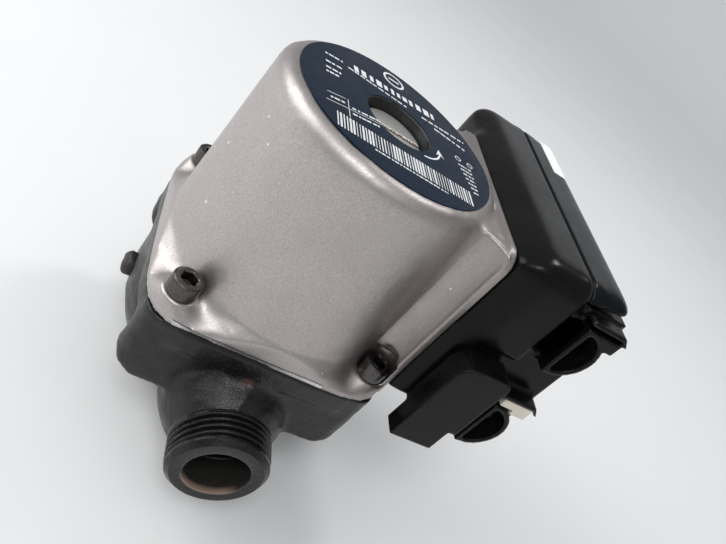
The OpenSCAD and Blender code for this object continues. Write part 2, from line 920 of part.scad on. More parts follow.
module terminal_box_base() {
    color([0.07, 0.07, 0.08]) {
        difference() {
            base_solid();
            base_solid(box_wall);
            block([seam_x - 1, box_y0 + box_wall, box_bottom_z + box_wall],
                [seam_x + 1, box_y1 - box_wall, box_top_z - box_wall]);
            block([ridge_x, box_y0 - 1, 0], [seam_x + 1, bay_y, near_wall_z0]);
            block([terminal_x0, box_y0, terminal_z0], [terminal_x1, 0, terminal_z1]);
            block([seam_x - box_wall - 4, bay_y + box_wall, bay_z0], [seam_x + 1, 0, bay_z1 - box_wall]);
            block([frame_x - 1, -lead_window_y, lead_window_z0],
                [box_floor_x + 1, lead_window_y, lead_window_z1]);
            for (y = [-box_screw_y, box_screw_y])
                for (z = box_screw_z)
                    bar_x(frame_x - 1, box_floor_x + 1, m4_shank_r + 0.3, y, z);
        }
        for (p = board_hole_yz)
            difference() {
                bar_x(standoff_x(p[0]) - 0.5, board_x, standoff_r, p[0], p[1]);
                bar_x(standoff_x(p[0]) + 0.5, board_x + 1, board_screw_r + 0.05, p[0], p[1]);
            }
        lid_screw_bosses();
        connector_bay();
        terminal_window();
    }
}

module terminal_box_seal() {
    color([0.10, 0.10, 0.11])
        difference() {
            along_x(seam_x, seam_x + seal_t)
                difference() {
                    polygon(round_rect(box_y0 + 0.6, box_bottom_z + 0.6, box_y1 - 0.6, box_top_z - 0.6,
                        box_corner - 0.6));
                    polygon(round_rect(box_y0 + box_wall, box_bottom_z + box_wall, box_y1 - box_wall,
                        box_top_z - box_wall, box_corner - box_wall));
                }
            block([seam_x - 1, box_y0 - 1, 0], [seam_x + 2, lid_notch_y + 0.5, lid_notch_z]);
        }
}

module terminal_box_screws() {
    color([0.60, 0.58, 0.52])
        for (y = [-box_screw_y, box_screw_y])
            for (z = box_screw_z) {
                bar_x(frame_x - 6, box_floor_x, m4_shank_r, y, z);
                difference() {
                    bar_x(box_floor_x, box_floor_x + m4_head_h, m4_head_r, y, z);
                    for (a = [0, 90])
                        translate([box_floor_x + m4_head_h - m4_slot_deep, y, z])
                            rotate([a, 0, 0])
                                block([0, -m4_head_r - 1, -m4_slot_w / 2],
                                    [m4_head_h, m4_head_r + 1, m4_slot_w / 2]);
                }
            }
}

module lid_outline(inset) {
    polygon([
        [lid_x0, box_y0 + inset], [lid_x - lid_corner, box_y0 + inset],
        [lid_x - 2, box_y0 + inset + 2], [lid_x - inset, box_y0 + lid_corner],
        [lid_x - inset, box_y1 - lid_corner], [lid_x - 2, box_y1 - inset - 2],
        [lid_x - lid_corner, box_y1 - inset], [lid_x0, box_y1 - inset]
    ]);
}

module lid_solid(inset = 0) {
    intersection() {
        translate([0, 0, box_bottom_z + inset])
            linear_extrude(box_top_z - box_bottom_z - 2 * inset)
                lid_outline(inset);
        along_x(seam_x, lid_x + 1)
            polygon(round_rect(box_y0 + inset, box_bottom_z + inset, box_y1 - inset, box_top_z - inset,
                box_corner - inset));
        along_y(box_y0 - 1, box_y1 + 1)
            polygon([
                [seam_x, box_bottom_z], [lid_x - 4, box_bottom_z], [lid_x - inset, box_bottom_z + 4],
                [lid_x - inset, box_top_z - 4.5], [lid_x - 1.4 - inset, box_top_z - 1.4], [lid_x - 5, box_top_z],
                [seam_x, box_top_z]
            ]);
    }
}

module terminal_box_lid() {
    color([0.06, 0.065, 0.075])
        difference() {
            lid_solid();
            difference() {
                lid_solid(box_wall);
                block([seam_x, box_y0, box_bottom_z], [lid_x, lid_notch_y + box_wall, lid_notch_z + box_wall]);
                for (p = lid_screw_yz)
                    bar_x(seam_x, lid_x, lid_boss_r, p[0], p[1]);
            }
            block([seam_x, box_y0 - 1, 0], [lid_x + 2, lid_notch_y, lid_notch_z]);
            for (p = lid_screw_yz) {
                bar_x(seam_x, lid_x + 1, lid_screw_r + 0.2, p[0], p[1]);
                bar_x(lid_x - lid_screw_head_h - 0.4, lid_x + 1, lid_screw_head_r + 0.2, p[0], p[1]);
            }
        }
}

module lid_screws() {
    color([0.70, 0.69, 0.66])
        for (p = lid_screw_yz)
            translate([lid_x - 0.4, p[0], p[1]])
                difference() {
                    rotate([0, -90, 0]) {
                        cylinder(h = lid_screw_head_h, r = lid_screw_head_r, $fn = fn_small);
                        cylinder(h = lid_screw_len, r = lid_screw_r, $fn = fn_small);
                    }
                    for (a = [0, 90])
                        rotate([a, 0, 0])
                            block([-lid_slot_deep, -lid_screw_head_r - 1, -lid_slot_w / 2],
                                [1, lid_screw_head_r + 1, lid_slot_w / 2]);
                }
}

module lid_sticker() {
    color([0.86, 0.86, 0.85])
        block([sticker_x[0], sticker_y[0], box_top_z], [sticker_x[1], sticker_y[1], box_top_z + sticker_t]);
}

// Cover over the mains cable's clamp
module plug_cover() {
    color([0.08, 0.08, 0.085])
        difference() {
            along_y(cover_y0, cover_y1)
                polygon(concat(
                    [[cover_x0, cover_z0], [cover_x1 - 3, cover_z0], [cover_x1 - 3, cover_toe_z],
                        [cover_x1, cover_toe_z]],
                    curve([cover_x1, cover_z1 - 4], [cover_x1, cover_z1], [cover_x1 - 3, cover_z1], 4),
                    curve([cover_x0 + cover_corner, cover_z1], [cover_x0, cover_z1],
                        [cover_x0, cover_z1 - cover_corner - 1], 6)
                ));
            along_y(cover_y0 + box_wall, cover_y1 + 1)
                polygon(round_rect(cover_x0 + box_wall, cover_z0 + box_wall, cover_x1 - 3 - box_wall,
                    cover_z1 - box_wall, 3));
            block([cover_x0 - 1, cover_y1 - box_wall, cover_z0 - 1], [cover_x1 + 1, cover_y1 + 1, cover_toe_z]);
        }
}

module key_tab() {
    color([0.90, 0.87, 0.80])
        along_y(scoop_y, bay_y - 0.05)
            polygon([
                [key_x0, key_z1], [key_x1, key_z1], [key_x1, key_z0], [key_step_x, key_z0],
                [key_step_x, key_step_z], [key_x0, key_step_z]
            ]);
}

// ---------- electronics ----------

module circuit_board() {
    color([0.10, 0.30, 0.16])
        difference() {
            block([board_x, board_y0, board_z0], [board_face_x, board_y1, board_z1]);
            for (p = board_hole_yz)
                bar_x(board_x - 1, board_face_x + 1, board_hole_r, p[0], p[1]);
            for (y = lead_y)
                bar_x(board_x - 1, board_face_x + 1, lead_r + 0.2, y, lead_z);
        }
}

module board_screws() {
    color([0.62, 0.60, 0.55])
        for (p = board_hole_yz) {
            bar_x(standoff_x(p[0]) + 0.7, board_face_x, board_screw_r, p[0], p[1]);
            bar_x(board_face_x, board_face_x + board_screw_head_h, board_screw_head_r, p[0], p[1]);
        }
}

module filter_capacitor() {
    color([0.12, 0.14, 0.20]) {
        bar_x(board_face_x, board_face_x + capacitor_len, capacitor_r, capacitor_y, capacitor_z);
        bar_x(board_face_x + capacitor_len, board_face_x + capacitor_len + 0.6, capacitor_r - 1, capacitor_y,
            capacitor_z);
    }
}

module suppression_capacitor() {
    color([0.85, 0.70, 0.20])
        along_x(board_face_x, board_face_x + film_capacitor_h)
            polygon(round_rect(film_capacitor_y[0], film_capacitor_z[0], film_capacitor_y[1],
                film_capacitor_z[1], 1, 3));
}

module common_mode_choke() {
    color([0.30, 0.32, 0.20])
        difference() {
            bar_x(board_face_x, board_face_x + choke_len, choke_r, choke_y, choke_z);
            bar_x(board_face_x - 1, board_face_x + choke_len + 1, choke_hole_r, choke_y, choke_z);
        }
}

module relay() {
    color([0.15, 0.15, 0.16])
        along_x(board_face_x, board_face_x + relay_h)
            polygon(round_rect(relay_y[0], relay_z[0], relay_y[1], relay_z[1], 1, 3));
}

module fuse() {
    color([0.80, 0.82, 0.82]) {
        translate([board_face_x + fuse_lift, fuse_y, fuse_z[0]])
            cylinder(h = fuse_z[1] - fuse_z[0], r = fuse_r, $fn = fn_fillet);
        for (z = [fuse_z[0] + 1, fuse_z[1] - 1 - fuse_clip[1]])
            block([board_face_x, fuse_y - fuse_clip[1], z],
                [board_face_x + fuse_clip[0], fuse_y + fuse_clip[1], z + fuse_clip[1]]);
    }
}

module power_module() {
    color([0.10, 0.10, 0.11])
        block([box_floor_x + spreader_t, power_module_y[0], power_module_z[0]],
            [board_x, power_module_y[1], power_module_z[1]]);
}

module heat_spreader() {
    color([0.72, 0.72, 0.73])
        block([box_floor_x, spreader_y[0], spreader_z[0]],
            [box_floor_x + spreader_t, spreader_y[1], spreader_z[1]]);
}

module mains_terminal_block() {
    color([0.24, 0.26, 0.28])
        difference() {
            block([board_face_x, terminal_block_y[0], terminal_block_z[0]],
                [board_face_x + terminal_block_h, terminal_block_y[1], terminal_block_z[1]]);
            for (z = terminal_hole_z)
                bar_y(terminal_block_y[0] - 1, terminal_block_y[0] + terminal_hole_len, terminal_hole_r,
                    board_face_x + terminal_block_h / 2, z);
        }
}

module signal_header() {
    color([0.90, 0.88, 0.82])
        difference() {
            block([board_face_x, header_y[0], header_z[0]], [board_face_x + header_h, header_y[1], header_z[1]]);
            block([board_face_x + header_wall, header_y[0] - 1, header_z[0] + header_wall],
                [board_face_x + header_h - header_wall, header_y[1] - 2, header_z[1] - header_wall]);
        }
}

module motor_connector() {
    color([0.08, 0.08, 0.08])
        difference() {
            block([frame_x - 4, -connector_half_y, connector_z[0]],
                [board_x - 1, connector_half_y, connector_z[1]]);
            for (y = lead_y)
                bar_x(frame_x - 5, board_x, lead_r + 0.05, y, lead_z);
        }
}

module connector_pins() {
    color([0.80, 0.65, 0.30])
        for (y = lead_y)
            bar_x(winding_r + 0.6, board_face_x + 1.5, lead_r, y, lead_z);
}

pump_housing();
casting_plug();
neck_ring();
housing_gasket();
can_oring();
bearing_plate();
rotor_can();
lower_bearing();
upper_bearing();
upper_bearing_holder();
motor_housing();
housing_screws();
stator_core();
stator_insulators();
stator_windings();
can_top_seal();
nameplate();
vent_screw();
vent_screw_oring();
shaft();
rotor_core();
rotor_sleeve();
rotor_end_rings();
thrust_bearing();
thrust_bearing_retainer();
impeller();
impeller_shroud();
split_cone();
terminal_box_base();
terminal_box_seal();
terminal_box_screws();
terminal_box_lid();
lid_screws();
lid_sticker();
plug_cover();
key_tab();
circuit_board();
board_screws();
filter_capacitor();
suppression_capacitor();
common_mode_choke();
relay();
fuse();
power_module();
heat_spreader();
mains_terminal_block();
signal_header();
motor_connector();
connector_pins();
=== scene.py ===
"""Looks of a circulator pump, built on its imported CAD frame.

Lengths are in millimetres until a mesh is made. X points at the terminal box, Y along the pipes
and Z at the nameplate. The pipe axis and the motor axis cross at the origin.
"""

import json
import math
import random

import bmesh
import bpy
import numpy as np
from mathutils import Matrix, Vector, noise


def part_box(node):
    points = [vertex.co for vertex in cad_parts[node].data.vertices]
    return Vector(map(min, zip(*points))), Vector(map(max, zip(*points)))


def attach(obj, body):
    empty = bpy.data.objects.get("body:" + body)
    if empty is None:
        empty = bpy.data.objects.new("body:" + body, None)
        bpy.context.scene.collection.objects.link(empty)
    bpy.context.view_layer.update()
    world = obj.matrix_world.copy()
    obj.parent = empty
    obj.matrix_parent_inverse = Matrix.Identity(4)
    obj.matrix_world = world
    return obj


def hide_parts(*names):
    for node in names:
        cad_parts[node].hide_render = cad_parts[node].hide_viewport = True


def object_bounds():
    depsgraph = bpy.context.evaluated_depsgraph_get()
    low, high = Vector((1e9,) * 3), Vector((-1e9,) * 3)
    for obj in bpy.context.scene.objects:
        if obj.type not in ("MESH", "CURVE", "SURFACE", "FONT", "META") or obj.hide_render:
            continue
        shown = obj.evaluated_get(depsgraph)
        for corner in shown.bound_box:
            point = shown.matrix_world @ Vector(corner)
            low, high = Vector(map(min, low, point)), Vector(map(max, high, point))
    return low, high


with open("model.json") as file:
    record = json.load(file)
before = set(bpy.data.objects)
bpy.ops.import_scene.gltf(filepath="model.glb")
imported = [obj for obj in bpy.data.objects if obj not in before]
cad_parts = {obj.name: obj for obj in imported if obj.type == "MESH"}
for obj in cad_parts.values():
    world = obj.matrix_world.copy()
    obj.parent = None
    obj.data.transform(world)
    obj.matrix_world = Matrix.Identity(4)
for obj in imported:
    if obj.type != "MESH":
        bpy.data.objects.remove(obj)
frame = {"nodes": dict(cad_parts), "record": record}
CAD_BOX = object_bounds()

MM = 0.001
BODY = "pump_body"

# ---------- driving dimensions ----------

# Mesh making: distances for merged points and slivers, share moved in a pass of rounding
MERGE = 1e-3
SLIVER = 1e-4
RELAX_SHARE = 0.6
ROUNDER_PASSES = 70
TRIANGLES = 190_000
# share of a ridge's radius at its tip, and the gain at each step inwards
RIDGE_TIP = 0.25
RIDGE_TAPER = 0.3

# Ports and their pipe threads
PORT_END = 65.0
PORT_BORE_R = 10.4
PORT_STEPS = 192
PORT_ROWS = 112
# radius past the bore and distance in from the end
PORT_RIM = ((0.7, 0.0), (0.2, 0.15), (0.0, 0.6))
NECK_END = 52.6
# half-width of the block that cuts a neck off, and its length past the port
NECK_CUT = 40
NECK_CUT_SPARE = 5
THREAD_R = 16.62
THREAD_PITCH = 2.309
THREAD_DEPTH = 1.479
THREAD_START = 53.2
THREAD_STOP = 62.6
THREAD_RUN_IN = 1.6
THREAD_RUN_OUT = 1.2
THREAD_RELIEF = 0.25
THREAD_CHAMFER = 1.9
# share of the pitch where a flank starts and ends
THREAD_FLANK = (0.08, 0.92)

# Socket screws through the shell's flange
SCREW_STEPS = 48
SCREW_PITCH = 34.5
SCREW_SEAT_Z = 36.2
SCREW_HEAD_R = 5.0
SCREW_HEX_R = 2.89
SCREW_HEX_DEPTH = 3.4
SCREW_HEX_CHAMFER = 0.35
# radius and depth of the drilled tip below the hexagon
SCREW_HEX_TIP = (0.3, 0.7)
SCREW_SHANK_R = 3.0
SCREW_GRIP = 8.0
SCREW_POINT = 0.7
SCREW_UNDERCUT = 0.2
SCREW_THREAD_PITCH = 1.0
SCREW_THREAD_DEPTH = 0.55
# distance in from the head's radius and down from its top
SCREW_HEAD_EDGE = ((0.0, 0.75), (0.12, 0.45), (0.62, 0.05), (0.8, 0.0))

# Motor shell
SEAT_R = 6.0
FOOT_Z = 31.8
FRAME_X = 41.0
MOTOR_RIDGES = (
    (((-28.3, -32.6, 40.3), (-21.0, -39.2, 37.5), (-15.3, -43.7, 34.9)), 0.55),
    (((-35.7, -25.7, 38.3), (-39.6, -20.8, 37.1), (-41.8, -18.3, 35.8)), 0.55),
    (((34.4, -31.2, 34.1), (22.0, -38.5, 33.4), (9.7, -44.0, 32.7)), 0.4),
)
SHELL_NICKS = (
    (-39.0, -16.7, 56.5),
    (-41.2, -7.2, 72.5),
)
GROUND_STRIP = ((-33.5, -42.55), (18.6, -43.97))
GROUND_STRIP_Z = (29.3, 31.6)
GROUND_STRIP_WIDTH = 8

# Pump casting
FLANGE_TOP = 29.0
NECK_RIDGE = (
    (-3.8, -56.3, 16.2),
    (-2.5, -51.4, 16.2),
    (-1.3, -46.7, 18.9),
    (0.7, -43.6, 21.1),
    (0.8, -43.6, 26.1),
)
NECK_RIDGE_R = 0.9
NECK_WET_PATCH = (-6, -46, 19)
NECK_RUST_PATCH = (-2.4, -44.1, 20)

# Vent screw and nameplate
VENT_SLOT_HALF = 0.9
VENT_HOLE_R = 12.0
LABEL_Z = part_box("nameplate")[1].z / MM
INK_T = 0.03
INK_SUNK = 0.02
# where the barcode starts, and its length
BARCODE_X = (-24, 49)
BARCODE_Y = (-25.0, -17.4)
BARCODE_BARS = 46
BARCODE_WIDTHS = (0.25, 0.4, 0.65)
RULE_WIDTH = 0.22
# shares of the mean length of a word
WORD_SPREAD = (0.5, 1.5)
WORD_GAP = (0.18, 0.5)
# start, end, height and mean length of the words, here and in SMALL_PRINT
RATING_WORDS = (
    ((-26.0, -11.2), (-21.0, -9.8), 0.8, 1.3),
    ((-18.6, -10.4), (-9.0, -8.0), 0.8, 1.5),
    ((-18.6, -13.6), (-9.0, -11.4), 0.8, 1.5),
)
RATING_RULES = (
    ((-27.1, -9.0), (-20.7, -7.0)),
    ((-27.5, -13.9), (-8.0, -9.2)),
    ((-19.9, -6.6), (-19.7, -16.6)),
)
HEADING_X = -16.0
HEADING_Y = 19.5
HEADING_SLOPE = 0.05
HEADING_BARS = 12
# height of each short line beside the heading, and where it ends
HEADING_LINES = ((17.0, -20.5), (11.5, -21.0), (7.5, -21.5), (4.6, -22.5))
SMALL_PRINT = (
    ((-18.5, 16.2), (4.5, 14.6), 0.8, 1.5),
    ((10.8, 14.4), (29.1, 15.2), 0.9, 1.7),
    ((15.7, 11.9), (28.5, 9.9), 0.9, 1.7),
)
# centre, radius, first and last angle, width and number of bars
EMBLEM = ((1.0, 29.2), 3.9, 0, 360, 0.9, 28)
EMBLEM_BAR = ((-1.2, 29.2), (3.2, 29.2), 1.0)
TURN_ARROW = ((6.5, -3.6), 8.4, -82, -8, 0.7, 14)
TURN_ARROW_HEAD = ((14.8, -4.8), (16.4, -6.4), (14.8, -2.2), (13.2, -6.2))

# Terminal box
SEAM_X = 66.5
LID_X0 = 67.5
BOX_SOFT_Z = 72.0

# Floor, light and camera
FLOOR_GAP = 0.3
FLOOR_Z = CAD_BOX[0].z / MM - FLOOR_GAP
FLOOR_R = 2600.0
FLOOR_STEPS = 96
SWEEP_R = 2600.0
SWEEP_STEPS = 12
OBJECT_CENTRE = Vector((20.0, 0.0, 40.0))
BRIGHT_SIDE = (-0.75, -0.35, 0.55)
WORLD_RANGE = (-0.5, 0.9)
WORLD_LIGHT = (0.08, 0.85)
WORLD_COLOUR = (0.95, 0.97, 1.0, 1.0)
# name, direction from the object, distance and size in metres, watts
LAMPS = (
    ("key", (-0.9, 0.26, 0.5), 0.9, 0.7, 4.2),
    ("front", (-0.33, -0.55, 0.8), 1.0, 0.34, 2.4),
    ("top", (0.42, 0.33, 0.83), 1.0, 0.22, 1.6),
)
CAMERA_AT = Vector((-82.45, -191.32, 176.32))
CAMERA_TARGET = Vector((36.87, 19.21, 35.47))
CAMERA_ROLL = math.radians(42.859)
CAMERA_LENS = 35.12
CAMERA_SENSOR = 36.0
CAMERA_CLIP = (0.01, 50.0)


# ---------- mesh tools ----------


def new_object(name, verts, faces):
    """An object from points in millimetres and faces."""
    mesh = bpy.data.meshes.new(name)
    mesh.from_pydata([Vector(v) * MM for v in verts], [], faces)
    mesh.update()
    ob = bpy.data.objects.new(name, mesh)
    bpy.context.scene.collection.objects.link(ob)
    return ob


def tidy_mesh(ob):
    """Merges doubled points and turns all faces outwards."""
    bm = bmesh.new()
    bm.from_mesh(ob.data)
    bmesh.ops.remove_doubles(bm, verts=bm.verts, dist=MERGE * MM)
    bmesh.ops.dissolve_degenerate(bm, edges=bm.edges, dist=SLIVER * MM)
    bmesh.ops.recalc_face_normals(bm, faces=bm.faces)
    bm.to_mesh(ob.data)
    bm.free()
    return ob


def baked(ob):
    """Applies every modifier."""
    graph = bpy.context.evaluated_depsgraph_get()
    mesh = bpy.data.meshes.new_from_object(ob.evaluated_get(graph))
    ob.modifiers.clear()
    old = ob.data
    ob.data = mesh
    bpy.data.meshes.remove(old)
    return ob


def cad_copy(node, name):
    """A copy of a CAD node's mesh, with no material."""
    mesh = frame["nodes"][node].data.copy()
    mesh.materials.clear()
    ob = bpy.data.objects.new(name, mesh)
    bpy.context.scene.collection.objects.link(ob)
    return tidy_mesh(ob)


def carve(ob, cutter, operation="DIFFERENCE"):
    """A boolean of ob with cutter, which is used up."""
    modifier = ob.modifiers.new("carve", "BOOLEAN")
    modifier.operation = operation
    modifier.solver = "MANIFOLD"
    modifier.object = cutter
    baked(ob)
    bpy.data.objects.remove(cutter)
    return ob


def block(lo, hi, name="block"):
    """A box from corner lo to corner hi."""
    xs, ys, zs = zip(lo, hi)
    verts = [(x, y, z) for x in xs for y in ys for z in zs]
    faces = [(0, 1, 3, 2), (4, 6, 7, 5), (0, 4, 5, 1), (2, 3, 7, 6), (0, 2, 6, 4), (1, 5, 7, 3)]
    return new_object(name, verts, faces)


def rings_mesh(name, rings, close=False):
    """A surface through rings of equal length. close joins the last ring to the first."""
    n = len(rings[0])
    verts = [p for ring in rings for p in ring]
    pairs = [(k, k + 1) for k in range(len(rings) - 1)]
    if close:
        pairs.append((len(rings) - 1, 0))
    faces = [
        (a * n + i, a * n + (i + 1) % n, b * n + (i + 1) % n, b * n + i)
        for a, b in pairs
        for i in range(n)
    ]
    return tidy_mesh(new_object(name, verts, faces))


def prism(name, outline, z0, z1):
    """A prism along Z over an outline in X and Y."""
    n = len(outline)
    verts = [(x, y, z0) for x, y in outline] + [(x, y, z1) for x, y in outline]
    faces = [tuple(reversed(range(n))), tuple(range(n, 2 * n))]
    faces += [(i, (i + 1) % n, n + (i + 1) % n, n + i) for i in range(n)]
    return tidy_mesh(new_object(name, verts, faces))


def relax(ob, passes, weight=None):
    """Rounds a fine mesh by averaging each point with its neighbours."""
    mesh = ob.data
    n = len(mesh.vertices)
    co = places_of(mesh)
    ends = np.empty(2 * len(mesh.edges), int)
    mesh.edges.foreach_get("vertices", ends)
    a, b = ends.reshape(-1, 2).T
    degree = np.maximum(np.bincount(ends, minlength=n), 1)
    share = np.full(n, RELAX_SHARE)
    if weight:
        share = RELAX_SHARE * np.clip(weight(co / MM), 0, 1)
    for _ in range(passes):
        for k in range(3):
            near = np.bincount(a, co[b, k], n) + np.bincount(b, co[a, k], n)
            co[:, k] += share * (near / degree - co[:, k])
    mesh.vertices.foreach_set("co", co.ravel())
    mesh.update()
    return ob


def remeshed(ob, voxel, passes, weight=None):
    """Turns a solid into an even fine mesh with rounded edges."""
    modifier = ob.modifiers.new("voxels", "REMESH")
    modifier.mode = "VOXEL"
    modifier.voxel_size = voxel * MM
    baked(ob)
    return relax(ob, passes, weight)


def thinned(ob, limit=TRIANGLES):
    """Brings a mesh of quads under a number of triangles."""
    ob.data.calc_loop_triangles()
    count = len(ob.data.loop_triangles)
    if count > limit:
        modifier = ob.modifiers.new("thin", "DECIMATE")
        modifier.ratio = limit / count
        baked(ob)
    return ob


def smooth(ob, angle=None):
    """Smooth shading, with edges sharper than an angle in degrees left crisp."""
    mesh = ob.data
    mesh.shade_smooth()
    if angle is not None:
        mesh.set_sharp_from_angle(angle=math.radians(angle))
    return ob


def places_of(mesh):
    """Places of a mesh's points, as rows of an array."""
    rows = np.empty(3 * len(mesh.vertices))
    mesh.vertices.foreach_get("co", rows)
    return rows.reshape(-1, 3)


def normals_of(mesh):
    """Normals at a mesh's points, as rows of an array."""
    rows = np.empty(3 * len(mesh.vertices))
    mesh.vertex_normals.foreach_get("vector", rows)
    return rows.reshape(-1, 3)


def roughen(ob, size, depth, seed, where=None):
    """Moves points along their normals by a smooth noise of that size and depth."""
    places = places_of(ob.data)
    normals = normals_of(ob.data)
    shift = Vector((seed, 2.0 * seed, 0.5 * seed))
    heights = np.array([noise.noise(Vector(p) / (size * MM) + shift) for p in places])
    if where is not None:
        heights *= where(places / MM)
    places += normals * (heights * depth * MM)[:, None]
    ob.data.vertices.foreach_set("co", places.ravel())
    ob.data.update()
    return ob


def step(value, low, high):
    """0 below low, 1 above high and smooth in between. Works on numbers and arrays."""
    t = np.clip((value - low) / (high - low), 0, 1)
    return t * t * (3 - 2 * t)


# ---------- materials ----------

NO_STRETCH = (1, 1, 1)
DRAWN_ALONG_Z = (1, 1, 0.06)


class Look:
    """A node material with its texture tools. Sizes are in millimetres."""

    def __init__(self, name, **values):
        self.material = bpy.data.materials.new(name)
        self.material.use_nodes = True
        self.tree = self.material.node_tree
        self.shader = self.tree.nodes["Principled BSDF"]
        self.place = self.tree.nodes.new("ShaderNodeTexCoord").outputs["Object"]
        for key, value in values.items():
            self.socket(key).default_value = value
        self.normal = None

    def socket(self, key):
        """A shader input, by its name in lower case with underscores."""
        return self.shader.inputs[key.replace("_", " ").title().replace("Ior", "IOR")]

    def link(self, value, socket):
        """Feeds a socket from another, or sets its plain value."""
        if isinstance(value, bpy.types.NodeSocket):
            self.tree.links.new(value, socket)
        else:
            socket.default_value = value

    def drive(self, key, value):
        """Feeds a shader input."""
        self.link(value, self.socket(key))
        return self

    def noise(self, size, detail=3.0, rough=0.55, stretch=NO_STRETCH, seed=0.0):
        """Cloudy noise of a size. A stretch under 1 along an axis draws it out."""
        place = self.tree.nodes.new("ShaderNodeMapping")
        place.inputs["Scale"].default_value = [s / (size * MM) for s in stretch]
        place.inputs["Location"].default_value = (seed, seed, seed)
        self.tree.links.new(self.place, place.inputs["Vector"])
        node = self.tree.nodes.new("ShaderNodeTexNoise")
        node.inputs["Scale"].default_value = 1.0
        node.inputs["Detail"].default_value = detail
        node.inputs["Roughness"].default_value = rough
        self.tree.links.new(place.outputs[0], node.inputs["Vector"])
        return node.outputs["Fac"]

    def specks(self, size, seed=0.0):
        """Distance from the nearest of scattered points, in cells."""
        place = self.tree.nodes.new("ShaderNodeMapping")
        place.inputs["Scale"].default_value = [1 / (size * MM)] * 3
        place.inputs["Location"].default_value = (seed, seed, seed)
        self.tree.links.new(self.place, place.inputs["Vector"])
        node = self.tree.nodes.new("ShaderNodeTexVoronoi")
        node.inputs["Scale"].default_value = 1.0
        self.tree.links.new(place.outputs[0], node.inputs["Vector"])
        return node.outputs["Distance"]

    def fit(self, value, low, high, out_low=0.0, out_high=1.0):
        """Maps low..high to out_low..out_high, clamped."""
        node = self.tree.nodes.new("ShaderNodeMapRange")
        self.link(value, node.inputs[0])
        for i, v in enumerate((low, high, out_low, out_high)):
            node.inputs[i + 1].default_value = v
        return node.outputs[0]

    def math(self, operation, a, b=0.0):
        """An operation on two numbers or sockets."""
        node = self.tree.nodes.new("ShaderNodeMath")
        node.operation = operation
        self.link(a, node.inputs[0])
        self.link(b, node.inputs[1])
        return node.outputs[0]

    def mix(self, factor, a, b):
        """Colour a where factor is 0 and colour b where it is 1."""
        node = self.tree.nodes.new("ShaderNodeMix")
        node.data_type = "RGBA"
        self.link(factor, node.inputs["Factor"])
        for value, socket in ((a, node.inputs[6]), (b, node.inputs[7])):
            self.link(value if isinstance(value, bpy.types.NodeSocket) else (*value, 1.0), socket)
        return node.outputs[2]

    def axis(self, name):
        """One coordinate of the surface, in millimetres."""
        node = self.tree.nodes.new("ShaderNodeSeparateXYZ")
        self.tree.links.new(self.place, node.inputs[0])
        return self.math("DIVIDE", node.outputs[name], MM)

    def radius_about(self, name):
        """Distance of the surface from an axis, in millimetres."""
        squares = [self.math("POWER", self.axis(other), 2.0) for other in "XYZ" if other != name]
        return self.math("SQRT", self.math("ADD", *squares))

    def band(self, name, low, high, blur):
        """1 between two places along an axis, 0 outside."""
        at = self.axis(name)
        above = self.fit(at, low - blur, low)
        return self.math("MULTIPLY", above, self.fit(at, high, high + blur, 1.0, 0.0))

    def near(self, point, low, high):
        """1 within low mm of a point, 0 beyond high."""
        node = self.tree.nodes.new("ShaderNodeVectorMath")
        node.operation = "DISTANCE"
        self.tree.links.new(self.place, node.inputs[0])
        node.inputs[1].default_value = Vector(point) * MM
        return self.fit(self.math("DIVIDE", node.outputs["Value"], MM), low, high, 1.0, 0.0)

    def edges(self, low, high):
        """1 on convex edges."""
        node = self.tree.nodes.new("ShaderNodeNewGeometry")
        return self.fit(node.outputs["Pointiness"], low, high)

    def bump(self, height, depth, strength=1.0):
        """Adds relief of a depth to the surface."""
        node = self.tree.nodes.new("ShaderNodeBump")
        node.inputs["Strength"].default_value = strength
        node.inputs["Distance"].default_value = depth * MM
        self.link(height, node.inputs["Height"])
        if self.normal is not None:
            self.tree.links.new(self.normal, node.inputs["Normal"])
        self.normal = node.outputs["Normal"]
        self.tree.links.new(self.normal, self.shader.inputs["Normal"])
        return self


def on_ground_strip(look, z0, z1, blur, y_full, y_none):
    """1 between two heights on the strip ground along the shell's flange, 0 elsewhere."""
    (x0, _), (x1, _) = GROUND_STRIP
    share = look.band("Z", z0, z1, blur)
    share = look.math("MULTIPLY", share, look.fit(look.axis("Y"), y_full, y_none, 1.0, 0.0))
    return look.math("MULTIPLY", share, look.band("X", x0, x1, 0.4))


def ground_strip_tone(look, tone):
    """Adds the bright ground strip and the dark line above it, painted shade under the step."""
    low, high = GROUND_STRIP_Z
    marks = look.noise(0.4, detail=3, rough=0.6, stretch=(1, 1, 0.08), seed=1.0)
    bright = look.mix(look.fit(marks, 0.35, 0.65), (0.50, 0.49, 0.48), (0.86, 0.85, 0.84))
    ground = on_ground_strip(look, low - 0.1, high - 0.2, 0.15, -42.6, -42.2)
    tone = look.mix(ground, tone, bright)
    # painted shade: a dark line under the step at the strip's top edge
    line = on_ground_strip(look, high - 0.1, high + 0.25, 0.1, -42.3, -42.0)
    return look.mix(line, tone, (0.10, 0.095, 0.09))


